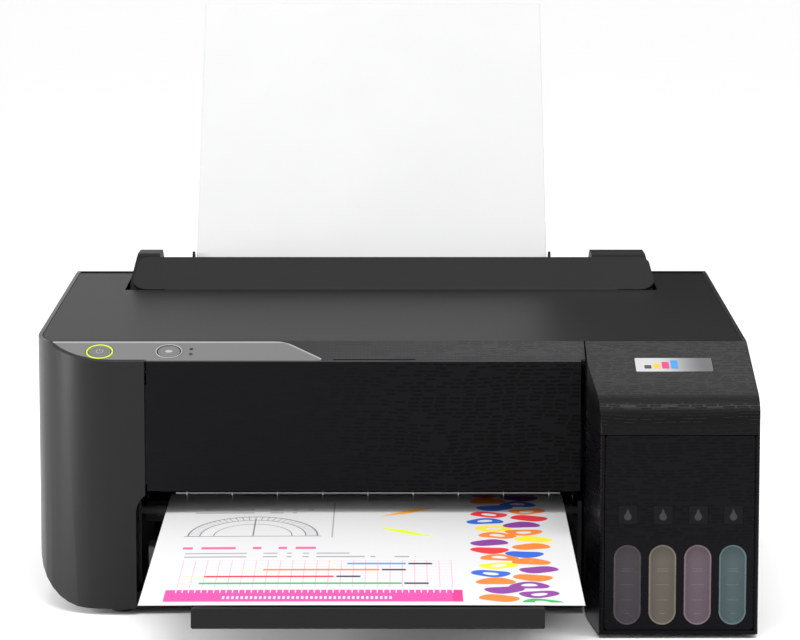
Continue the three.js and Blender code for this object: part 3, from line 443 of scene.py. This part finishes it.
def activate(piece):
    clearSelection()
    bpy.context.view_layer.objects.active = piece
    piece.select_set(True)


def settle(piece):
    activate(piece)
    bpy.ops.object.transform_apply(location=True, rotation=True, scale=True)


def block(name, low, high):
    clearSelection()
    bpy.ops.mesh.primitive_cube_add(size=1, location=[(a + b) / 2 * mm for a, b in zip(low, high)],
                                    scale=[(b - a) * mm for a, b in zip(low, high)])
    piece = bpy.context.object
    piece.name = name
    settle(piece)
    return piece


# a round bar, its axis along x, y or z
def rod(name, middle, radius, length, axis="z", sides=48):
    clearSelection()
    turn = {"x": (0, math.pi / 2, 0), "y": (math.pi / 2, 0, 0), "z": (0, 0, 0)}[axis]
    bpy.ops.mesh.primitive_cylinder_add(vertices=sides, radius=radius * mm, depth=length * mm,
                                        location=[v * mm for v in middle], rotation=turn)
    piece = bpy.context.object
    piece.name = name
    settle(piece)
    return piece


def pick(piece, kind, wanted):
    activate(piece)
    bpy.ops.object.mode_set(mode="EDIT")
    bpy.ops.mesh.select_mode(type=kind)
    bpy.ops.mesh.select_all(action="DESELECT")
    mesh = bmesh.from_edit_mesh(piece.data)
    for part in {"VERT": mesh.verts, "EDGE": mesh.edges, "FACE": mesh.faces}[kind]:
        if wanted(part):
            part.select = True
    mesh.select_flush_mode()
    bmesh.update_edit_mesh(piece.data)


def pickAlong(piece, axis):
    pick(piece, "EDGE", lambda edge: abs((edge.verts[0].co - edge.verts[1].co).normalized()[axis]) > 0.99)


def pickFacing(piece, direction):
    pick(piece, "FACE", lambda face: face.normal.dot(Vector(direction)) > 0.99)


def roundAlong(piece, axis, radius, segments=8):
    pickAlong(piece, axis)
    bpy.ops.mesh.bevel(offset=radius * mm, segments=segments, affect="EDGES")
    bpy.ops.object.mode_set(mode="OBJECT")


# a slot with round ends, its long side along z
def stadium(name, middleX, low, high, width, y0, y1):
    middleZ = (low + high) / 2
    piece = rod(name, (middleX, (y0 + y1) / 2, middleZ), width / 2, y1 - y0, "y", 50)
    for side in (-1, 1):
        pick(piece, "VERT", lambda vertex: (vertex.co.z / mm - middleZ) * side > 0)
        bpy.ops.transform.translate(value=(0, 0, side * (high - low - width) / 2 * mm))
        bpy.ops.object.mode_set(mode="OBJECT")
    return piece


def cutAway(piece, *cutters):
    for cutter in cutters:
        cut = piece.modifiers.new("cut", "BOOLEAN")
        cut.operation = "DIFFERENCE"
        cut.solver = "EXACT"
        cut.object = cutter
        activate(piece)
        bpy.ops.object.modifier_apply(modifier="cut")
        bpy.data.objects.remove(cutter)


def joinUp(name, pieces):
    clearSelection()
    for piece in pieces:
        piece.select_set(True)
    bpy.context.view_layer.objects.active = pieces[0]
    bpy.ops.object.join()
    pieces[0].name = name
    return pieces[0]


def softenEdges(piece, edge, segments=3, angle=28):
    activate(piece)
    bevel = piece.modifiers.new("edges", "BEVEL")
    bevel.width = edge * mm
    bevel.segments = segments
    bevel.limit_method = "ANGLE"
    bevel.angle_limit = math.radians(angle)
    bpy.ops.object.modifier_apply(modifier="edges")
    bpy.ops.object.shade_smooth_by_angle(angle=math.radians(angle))
    even = piece.modifiers.new("even", "WEIGHTED_NORMAL")
    even.keep_sharp = True
    bpy.ops.object.modifier_apply(modifier="even")


def complete(piece, body, slot, material=None, edge=None, replaces=(), segments=3):
    if edge:
        softenEdges(piece, edge, segments)
    piece.data.materials.clear()
    piece.data.materials.append(material or finishes[slot])
    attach(piece, body)
    if replaces:
        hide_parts(*replaces)
    return piece


# a merged copy of a solid, ready for its own edges and cuts
def copyOf(node, name):
    source = frame["nodes"][node]
    piece = source.copy()
    piece.data = source.data.copy()
    piece.parent = None
    piece.name = name
    bpy.context.collection.objects.link(piece)
    activate(piece)
    bpy.ops.object.mode_set(mode="EDIT")
    bpy.ops.mesh.select_all(action="SELECT")
    bpy.ops.mesh.remove_doubles(threshold=0.00002)
    bpy.ops.mesh.dissolve_limited(angle_limit=math.radians(0.8), delimit=set())
    bpy.ops.object.mode_set(mode="OBJECT")
    return piece


def finishCopy(piece, node, edge=0.6, material=None, segments=3):
    return complete(piece, bodyOf[node], slotOf[node], material, edge, (node,), segments)


shells = {
    "left_casing": 0.7, "right_casing": 0.7, "feeder_frame": 0.6, "feeder_guard": 0.8, "base_tray": 0.6,
    "tank_housing": 0.6, "output_tray": 0.5, "tray_extension": 0.5, "tray_stopper": 0.35,
    "paper_support": 0.4,
    "support_extension": 0.4, "edge_guide_left": 0.4, "edge_guide_right": 0.4, "power_button": 0.4,
    "feed_button": 0.4,
    "control_panel": 0.3, "power_ring": 0.25, "carriage": 0.6, "cap_station": 0.5, "tank_cap_black": 0.5,
    "tank_cap_yellow": 0.5, "tank_cap_magenta": 0.5, "tank_cap_cyan": 0.5, "foot_front_left": 0.8,
    "foot_front_right": 0.8, "foot_rear_left": 0.8, "foot_rear_right": 0.8,
}
for node, edge in shells.items():
    camel = "".join(word.capitalize() if i else word for i, word in enumerate(node.split("_")))
    finishCopy(copyOf(node, camel + "Shell"), node, edge, finishes[otherFinish.get(node, slotOf[node])])
print("shells refined:", len(shells))
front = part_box("printer_cover")[0][1] / mm

# pieces on the sloping strip are made flat at the origin, then laid on it
strip = {"lean": math.atan2(8.4, 20), "foot": (front, 134.6), "feedX": -116.0, "buttonRun": 10.85,
         "collarOuter": 7.0, "collarInner": 6.5, "collarHeight": 0.35}


def layOnStrip(piece, x, run, proud=0.0):
    lean = strip["lean"]
    y = strip["foot"][0] + run * math.cos(lean) - proud * math.sin(lean)
    z = strip["foot"][1] + run * math.sin(lean) + proud * math.cos(lean)
    piece.matrix_world = (Matrix.Translation(Vector((x, y, z)) * mm)
                          @ Matrix.Rotation(lean, 4, "X") @ piece.matrix_world)
    settle(piece)
    return piece


# top cover with its front panel: a thin finger slot at the foot of the strip
cover = {"edge": 0.7, "slotX": -8.3, "slotLength": 43, "slotWidth": 1.1, "slotRun": 2.5, "slotDepth": 1.2}
coverShell = copyOf("printer_cover", "printerCoverShell")
softenEdges(coverShell, cover["edge"])
slot = block("slot", (-cover["slotLength"] / 2, -cover["slotWidth"] / 2, -cover["slotDepth"]),
             (cover["slotLength"] / 2, cover["slotWidth"] / 2, 2))
cutAway(coverShell, layOnStrip(slot, cover["slotX"], cover["slotRun"]))
finishCopy(coverShell, "printer_cover", None)
print("top cover done")


def ringPlate(name, outer, inner, height):
    plate = rod(name, (0, 0, 0), outer, height, sides=64)
    cutAway(plate, rod("hole", (0, 0, 0), inner, height * 3, sides=64))
    return plate


# power sign: an open ring and a short stroke, raised on the button
sign = {"outer": 1.9, "inner": 1.55, "height": 0.3, "stroke": 0.35}
powerSign = ringPlate("powerSign", sign["outer"], sign["inner"], sign["height"])
cutAway(powerSign, block("gap", (-0.8, 0.6, -1), (0.8, 3, 1)))
stroke = block("stroke", (-sign["stroke"] / 2, 0.3, -sign["height"] / 2),
               (sign["stroke"] / 2, 2.1, sign["height"] / 2))
powerSign = joinUp("powerSign", [powerSign, stroke])


def layOnButton(piece, node, proud):
    low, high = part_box(node)
    lean = strip["lean"]
    middle = [(a + b) / 2 / mm for a, b in zip(low, high)]
    outward = Vector((0, -math.sin(lean), math.cos(lean)))
    top = max(v.co.dot(outward) for v in frame["nodes"][node].data.vertices) / mm
    here = -math.sin(lean) * middle[1] + math.cos(lean) * middle[2]
    up = top - here + proud
    place = Vector((middle[0], middle[1] - up * math.sin(lean), middle[2] + up * math.cos(lean))) * mm
    piece.matrix_world = Matrix.Translation(place) @ Matrix.Rotation(lean, 4, "X") @ piece.matrix_world
    settle(piece)
    return piece


signFinish = moulded("paleMark", grey(0.3), 0.45)
complete(layOnButton(powerSign, "power_button", 0.02), "power_button", "panel", signFinish, 0.06,
         segments=1)
feedSign = rod("feedSign", (0, 0, 0), 1.5, 0.3, sides=40)
feedSign.scale = (1.3, 0.9, 1)
settle(feedSign)
complete(layOnButton(feedSign, "feed_button", 0.02), "feed_button", "panel", signFinish, 0.1, segments=2)
feedCollar = ringPlate("feedCollar", strip["collarOuter"], strip["collarInner"], strip["collarHeight"])
layOnStrip(feedCollar, strip["feedX"], strip["buttonRun"], 0.08)
complete(feedCollar, "printer_cover", "panel", signFinish, 0.12, segments=2)
lamps = {"x": (-104.4, -104.4), "run": (8.2, 13.4), "radius": 0.95}
lampFinish = moulded("unlitLamp", grey(0.01), 0.2)
for number, (x, run) in enumerate(zip(lamps["x"], lamps["run"])):
    lamp = rod("lamp%d" % number, (0, 0, 0), lamps["radius"], 0.5, sides=32)
    complete(layOnStrip(lamp, x, run, 0.05), "printer_cover", "button", lampFinish, 0.15, segments=2)
print("strip details done")


# tank unit: front panel with four windows and label recesses, level lenses, tick marks and drop marks
tank = {"inks": ("black", "yellow", "magenta", "cyan"), "windowWidth": 14.4, "windowLow": 6.8,
        "windowHigh": 48.7,
        "ticks": ((0.30, 5.5), (0.33, 5.5), (0.50, 6.5), (0.69, 5.5), (0.86, 2.5)), "tickHalf": 0.12,
        "dropRadius": 1.9, "dropThickness": 0.16, "dropRise": 4.2, "dropTip": 2.2,
        "lensInset": 0.25, "labelLow": 58.8, "labelSize": 10.3, "labelDepth": 0.45,
        "colours": {"black": (0.033, 0.026, 0.033, 1), "yellow": (0.092, 0.078, 0.06, 1),
                    "magenta": (0.092, 0.062, 0.078, 1), "cyan": (0.045, 0.072, 0.078, 1)}}
panelLow, panelHigh = [[v / mm for v in corner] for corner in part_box("tank_front_panel")]
tankMiddles = [sum(corner[0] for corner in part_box("ink_tank_" + ink)) / 2 / mm for ink in tank["inks"]]
tankFront = block("tankFront", panelLow, panelHigh)
roundAlong(tankFront, 1, 1.6, 5)
cutters = []
for middle in tankMiddles:
    cutters.append(stadium("window", middle, tank["windowLow"], tank["windowHigh"], tank["windowWidth"],
                           panelLow[1] - 2, panelHigh[1] + 2))
    label = block("label", (middle - tank["labelSize"] / 2, panelLow[1] - 2, tank["labelLow"]),
                  (middle + tank["labelSize"] / 2, panelLow[1] + tank["labelDepth"],
                   tank["labelLow"] + tank["labelSize"]))
    roundAlong(label, 1, 0.8, 4)
    cutters.append(label)
cutAway(tankFront, *cutters)
complete(tankFront, "housing", "gloss", None, 0.3, ("tank_front_panel",))
markFinish = moulded("labelMark", (0.03, 0.027, 0.03, 1), 0.5, Specular_IOR_Level=0.2)
labelFinish = moulded("labelBlack", (0.0018, 0.0012, 0.002, 1), 0.3, Specular_IOR_Level=0.12)
for ink, middle in zip(tank["inks"], tankMiddles):
    inset = tank["lensInset"]
    low, high, width = tank["windowLow"] + inset, tank["windowHigh"] - inset, tank["windowWidth"] - 2 * inset
    lens = stadium("levelLens_" + ink, middle, low, high, width, panelLow[1] + 0.35, panelLow[1] + 0.95)
    pickFacing(lens, (0, -1, 0))
    bpy.ops.mesh.inset(thickness=0.55 * mm, depth=0)
    bpy.ops.transform.translate(value=(0, 0.3 * mm, 0))
    bpy.ops.object.mode_set(mode="OBJECT")
    window = tankWindow("lens" + ink.capitalize(), tank["colours"][ink], middle, low, high, width)
    complete(lens, "housing", "ink_" + ink, window, 0.12, segments=2)
    ticks = []
    for share, size in tank["ticks"]:
        z = high - (high - low) * share
        ticks.append(block("tick", (middle - size / 2, panelLow[1] + 0.56, z - tank["tickHalf"]),
                           (middle + size / 2, panelLow[1] + 0.7, z + tank["tickHalf"])))
    tickFinish = moulded("tick" + ink.capitalize(), lighter(tank["colours"][ink], 1.7), 0.4)
    complete(joinUp("levelTicks_" + ink, ticks), "housing", "ink_" + ink, tickFinish, 0.04, segments=1)
    size = tank["labelSize"] - 0.3
    plate = block("labelPlate_" + ink, (middle - size / 2, panelLow[1] + 0.25, tank["labelLow"] + 0.15),
                  (middle + size / 2, panelLow[1] + 0.5, tank["labelLow"] + 0.15 + size))
    roundAlong(plate, 1, 0.7, 4)
    complete(plate, "housing", "gloss", labelFinish, 0.08, segments=1)
    dropFoot = (middle, panelLow[1] + 0.22, tank["labelLow"] + tank["dropRise"])
    drop = rod("dropMark_" + ink, dropFoot, tank["dropRadius"], tank["dropThickness"], "y", 32)
    pick(drop, "FACE", lambda face: face.normal.z > 0.9)
    bpy.ops.transform.translate(value=(0, 0, tank["dropTip"] * mm))
    bpy.ops.transform.resize(value=(0.15, 1, 1))
    bpy.ops.object.mode_set(mode="OBJECT")
    complete(drop, "housing", "ink_" + ink, markFinish, 0.04, segments=1)
finishCopy(copyOf("tank_lid", "tankLidShell"), "tank_lid", 0.6, finishes["lid"])
print("tank unit done")

# badge on the lid: a plate with a painted sheen, light at its left end and dark at its right, and four
# generic level bars
badge = {"lean": math.radians(16.5), "bars": ((-15.5, 4.0, (0.01, 0.01, 0.012, 1)),
                                              (-10.9, 6.0, (0.62, 0.36, 0.01, 1)),
         (-6.3, 8.0, (0.5, 0.005, 0.12, 1)), (-1.7, 10.0, (0.005, 0.2, 0.5, 1))), "barWidth": 3.6,
         "foot": -5.0, "proud": 0.40}
badgePlate = finishCopy(copyOf("badge_plate", "badgePlate"), "badge_plate", 0.25, segments=2)
badgeLow, badgeHigh = [Vector(corner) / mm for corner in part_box("badge_plate")]
badgeMiddle = (badgeLow + badgeHigh) / 2
for number, (x, height, colour) in enumerate(badge["bars"]):
    mark = block("badgeBar%d" % number, (x, badge["foot"], -0.1),
                 (x + badge["barWidth"], badge["foot"] + height, 0.1))
    roundAlong(mark, 2, 0.5, 4)
    up = badge["proud"]
    place = Vector((badgeMiddle.x, badgeMiddle.y - up * math.sin(badge["lean"]),
                    badgeMiddle.z + up * math.cos(badge["lean"]))) * mm
    mark.matrix_world = Matrix.Translation(place) @ Matrix.Rotation(badge["lean"], 4, "X")
    settle(mark)
    complete(mark, "tank_lid", "badge", moulded("badgeColour%d" % number, colour, 0.3), 0.05, segments=1)
print("badge done")

# printed page: a thin sheet with a slight arch, drawn on by its material
sheet = {"thickness": 0.14, "arch": 0.55, "lift": 0.12, "columns": 24, "rows": 40}


def sheetGrid(name, width, length):
    clearSelection()
    bpy.ops.mesh.primitive_grid_add(x_subdivisions=sheet["columns"], y_subdivisions=sheet["rows"], size=1)
    piece = bpy.context.object
    piece.name = name
    piece.scale = (width * mm, length * mm, 1)
    settle(piece)
    return piece


def thicken(piece, thickness):
    activate(piece)
    wall = piece.modifiers.new("wall", "SOLIDIFY")
    wall.thickness = thickness * mm
    wall.offset = 0
    bpy.ops.object.modifier_apply(modifier="wall")


pageLow, pageHigh = [Vector(corner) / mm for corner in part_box("printed_page")]
pageSize = pageHigh - pageLow
printedPage = sheetGrid("printedPageSheet", pageSize.x, pageSize.y)
for vertex in printedPage.data.vertices:
    across, along = vertex.co.x / mm / (pageSize.x / 2), vertex.co.y / mm / pageSize.y + 0.5
    crown = (sheet["arch"] * (1 - across * across) * math.sin(math.pi * min(1, along * 1.1))
             - 0.3 * abs(across) ** 3)
    vertex.co.z = (sheet["lift"] + (pageSize.z - 0.4) * along + crown * 0.6) * mm
printedPage.location = Vector(((pageLow.x + pageHigh.x) / 2, (pageLow.y + pageHigh.y) / 2,
                               pageLow.z + 0.25)) * mm
settle(printedPage)
thicken(printedPage, sheet["thickness"])
complete(printedPage, "printed_page", "paper", printedPaper("printedPaper", (0.6, 0.6, 0.605, 1)),
         replaces=("printed_page",))
bpy.ops.object.shade_smooth_by_angle(angle=math.radians(40))

# loaded sheets: a few loose sheets, each a little askew, leaning on the support
stack = {"lean": math.radians(52), "count": 7, "width": 210, "length": 297, "thickness": 0.12,
         "first": 0.2, "step": 0.25,
         "slips": ((0, 0, 0), (0.3, -0.5, 0.05), (-0.25, -0.2, -0.06), (0.1, -0.9, 0.1),
                   (-0.3, -0.3, 0.02), (0.2, -0.7, -0.08), (0, 0, 0))}
stackLow, stackHigh = [Vector(corner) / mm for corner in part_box("loaded_sheets")]
sheets = []
for number in range(stack["count"]):
    slipX, slipUp, turn = stack["slips"][number]
    one = sheetGrid("sheet", stack["width"] - 1.0, stack["length"] - 1.6)
    off = stack["first"] + stack["step"] * number
    for vertex in one.data.vertices:
        across, along = vertex.co.x / mm / 105, vertex.co.y / mm / 148.5
        wave = 0.05 * math.sin(across * 2.2 + number) * math.sin(along * 2.6 + number * 1.3)
        vertex.co.z = wave * mm
    foot = Vector(((stackLow.x + stackHigh.x) / 2, stackLow.y + 2 * math.sin(stack["lean"]),
                   stackLow.z)) * mm
    one.matrix_world = (Matrix.Translation(foot) @ Matrix.Rotation(stack["lean"], 4, "X")
                        @ Matrix.Translation(Vector((slipX, stack["length"] / 2 + slipUp * 0.5, off)) * mm)
                        @ Matrix.Rotation(math.radians(turn), 4, "Z"))
    settle(one)
    thicken(one, stack["thickness"])
    sheets.append(one)
complete(joinUp("loadedSheets", sheets), "loaded_sheets", "paper", replaces=("loaded_sheets",))
bpy.ops.object.shade_smooth_by_angle(angle=math.radians(40))
print("paper done")

# rear cover: two rows of vents and four recessed screws
rear = {"ventFoot": 92, "ventHead": 118, "ventWidth": 2.4, "ventPitch": 5.2, "vents": 13,
        "groups": (-62, 62),
        "depth": 1.6, "screws": ((-141, 14), (141, 12), (-141, 128), (141, 128)), "wellRadius": 4.2,
        "wellDepth": 1.5,
        "headRadius": 3.1, "slotWidth": 0.9}
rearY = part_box("rear_cover")[1][1] / mm
rearShell = copyOf("rear_cover", "rearCoverShell")
cutters = []
for group in rear["groups"]:
    for i in range(rear["vents"]):
        x = group + (i - (rear["vents"] - 1) / 2) * rear["ventPitch"]
        cutters.append(stadium("vent", x, rear["ventFoot"], rear["ventHead"], rear["ventWidth"],
                               rearY - rear["depth"], rearY + 2))
for x, z in rear["screws"]:
    cutters.append(rod("well", (x, rearY, z), rear["wellRadius"], rear["wellDepth"] * 2, "y"))
cutAway(rearShell, joinUp("vents", cutters))
finishCopy(rearShell, "rear_cover", 0.35, finishes["casing"], 2)
for number, (x, z) in enumerate(rear["screws"]):
    screw = rod("rearScrew%d" % number, (x, rearY - rear["wellDepth"] + 0.45, z), rear["headRadius"], 0.9,
                "y")
    half = rear["slotWidth"] / 2
    cutAway(screw, block("slotA", (x - 2, rearY - rear["wellDepth"] + 0.4, z - half),
                         (x + 2, rearY + 1, z + half)),
            block("slotB", (x - half, rearY - rear["wellDepth"] + 0.4, z - 2),
                  (x + half, rearY + 1, z + 2)))
    complete(screw, "housing", "steel", None, 0.15)
print("rear done")

# catch beside the tray
catch = {"low": (-128.6, -76, 22), "high": (-125.4, -58, 33)}
trayCatch = block("trayCatch", catch["low"], catch["high"])
roundAlong(trayCatch, 0, 1.5, 4)
complete(trayCatch, "housing", "panel", finishes["button"], 0.3)

# ribs under the top cover
ribs = {"left": -150, "right": 150, "front": -58, "rear": 80, "foot": 137.2, "thickness": 1.5, "long": 9,
        "cross": 4,
        "skinFront": 142.2, "skinRear": 148.0}


def skinHeight(y):
    return (ribs["skinFront"]
            + (ribs["skinRear"] - ribs["skinFront"]) * (y - ribs["front"]) / (ribs["rear"] - ribs["front"]))


ribPieces = []
half = ribs["thickness"] / 2
for i in range(ribs["long"]):
    x = ribs["left"] + (ribs["right"] - ribs["left"]) * i / (ribs["long"] - 1)
    rib = block("rib", (x - half, ribs["front"], ribs["foot"]), (x + half, ribs["rear"], ribs["skinFront"]))
    pick(rib, "VERT", lambda vertex: vertex.co.z / mm > ribs["foot"] + 1 and vertex.co.y > 0)
    bpy.ops.transform.translate(value=(0, 0, (ribs["skinRear"] - ribs["skinFront"]) * mm))
    pick(rib, "VERT", lambda vertex: vertex.co.z / mm < ribs["foot"] + 1 and vertex.co.y > 0)
    bpy.ops.transform.translate(value=(0, 0, (ribs["skinRear"] - ribs["skinFront"]) * mm))
    bpy.ops.object.mode_set(mode="OBJECT")
    ribPieces.append(rib)
for i in range(ribs["cross"]):
    y = ribs["front"] + (ribs["rear"] - ribs["front"]) * i / (ribs["cross"] - 1)
    top = skinHeight(y)
    ribPieces.append(block("rib", (ribs["left"] - half, y - half, top - 4.6),
                           (ribs["right"] + half, y + half, top)))
complete(joinUp("coverRibs", ribPieces), "printer_cover", "cover", finishes["inner"], 0.25, segments=1)

# star wheels over the delivery roller, on a wire shaft under a holder bar
wheels = {"left": -108, "right": 84, "count": 9, "radius": 4.1, "teeth": 16, "y": -71, "z": 60.6,
          "bar": (61.6, 65.2)}
wheel = rod("wheel", (wheels["left"], wheels["y"], wheels["z"]), wheels["radius"], 0.5, "x",
            wheels["teeth"] * 2)
pick(wheel, "VERT", lambda vertex: (math.degrees(math.atan2(vertex.co.z - wheels["z"] * mm,
                                                            vertex.co.y - wheels["y"] * mm))
                                    % (360 / wheels["teeth"])) < 1)
bpy.ops.transform.resize(value=(1, 0.8, 0.8), center_override=Vector((wheels["left"], wheels["y"],
                                                                      wheels["z"])) * mm)
bpy.ops.object.mode_set(mode="OBJECT")
wheelSet = [wheel]
for i in range(1, wheels["count"]):
    other = wheel.copy()
    other.data = wheel.data.copy()
    other.location.x = (wheels["right"] - wheels["left"]) * i / (wheels["count"] - 1) * mm
    bpy.context.collection.objects.link(other)
    settle(other)
    wheelSet.append(other)
wheelSet.append(rod("wire", ((wheels["left"] + wheels["right"]) / 2, wheels["y"], wheels["z"]), 0.8,
                    wheels["right"] - wheels["left"] + 12, "x", 24))
complete(joinUp("starWheels", wheelSet), "housing", "steel")
holder = block("wheelHolder", (wheels["left"] - 14, wheels["y"] - 3, wheels["bar"][0]),
               (wheels["right"] + 13, wheels["y"] + 3, wheels["bar"][1]))
cutters = []
for i in range(wheels["count"]):
    x = wheels["left"] + (wheels["right"] - wheels["left"]) * i / (wheels["count"] - 1)
    cutters.append(block("slot", (x - 2, wheels["y"] - 4, 55),
                         (x + 2, wheels["y"] + 4, wheels["bar"][1] - 0.3)))
cutAway(holder, *cutters)
complete(holder, "housing", "inner", None, 0.3, segments=2)

# rear sockets: pins in the mains inlet, and a tongue with four contacts in the data socket
socket = {"inletX": 138, "inletZ": 30, "pinGap": 3.6, "pinRadius": 1.15, "pinLength": 9,
          "usbX": -120, "usbZ": 65.7, "tongue": (5.4, 3.2), "contact": 0.5}
pins = []
for side in (-1, 1):
    pins.append(rod("pin", (socket["inletX"] + side * socket["pinGap"], rearY - 5.4, socket["inletZ"]),
                    socket["pinRadius"], socket["pinLength"], "y", 24))
complete(joinUp("inletPins", pins), "housing", "steel", None, 0.5)
width, height = socket["tongue"]
tongue = block("usbTongue", (socket["usbX"] - width / 2, rearY - 10, socket["usbZ"] - height / 2),
               (socket["usbX"] + width / 2, rearY - 2.5, socket["usbZ"] + height / 2))
complete(tongue, "housing", "gear", None, 0.3)
contacts = []
for dx, dz in ((-1, 1), (1, 1), (-1, -1), (1, -1)):
    x, z = socket["usbX"] + dx * 1.3, socket["usbZ"] + dz * (height / 2)
    contacts.append(block("contact", (x - socket["contact"], rearY - 9, z - 0.12),
                          (x + socket["contact"], rearY - 3, z + 0.12)))
brass = moulded("brassContact", (0.75, 0.5, 0.2, 1), 0.25, grain=0.00001, Metallic=1.0)
complete(joinUp("usbContacts", contacts), "housing", "steel", brass, 0.05, segments=1)
print("inner and rear details done")

# pale floor, not part of the object
clearSelection()
bpy.ops.mesh.primitive_plane_add(size=room["floorSize"], location=(0, 0, 0))
floor = bpy.context.object
floor.name = "floor"
floor.data.materials.append(moulded("paleFloor", room["floorColour"], 0.9, grain=0.00001,
                                    Specular_IOR_Level=0.1))
print("stage set")
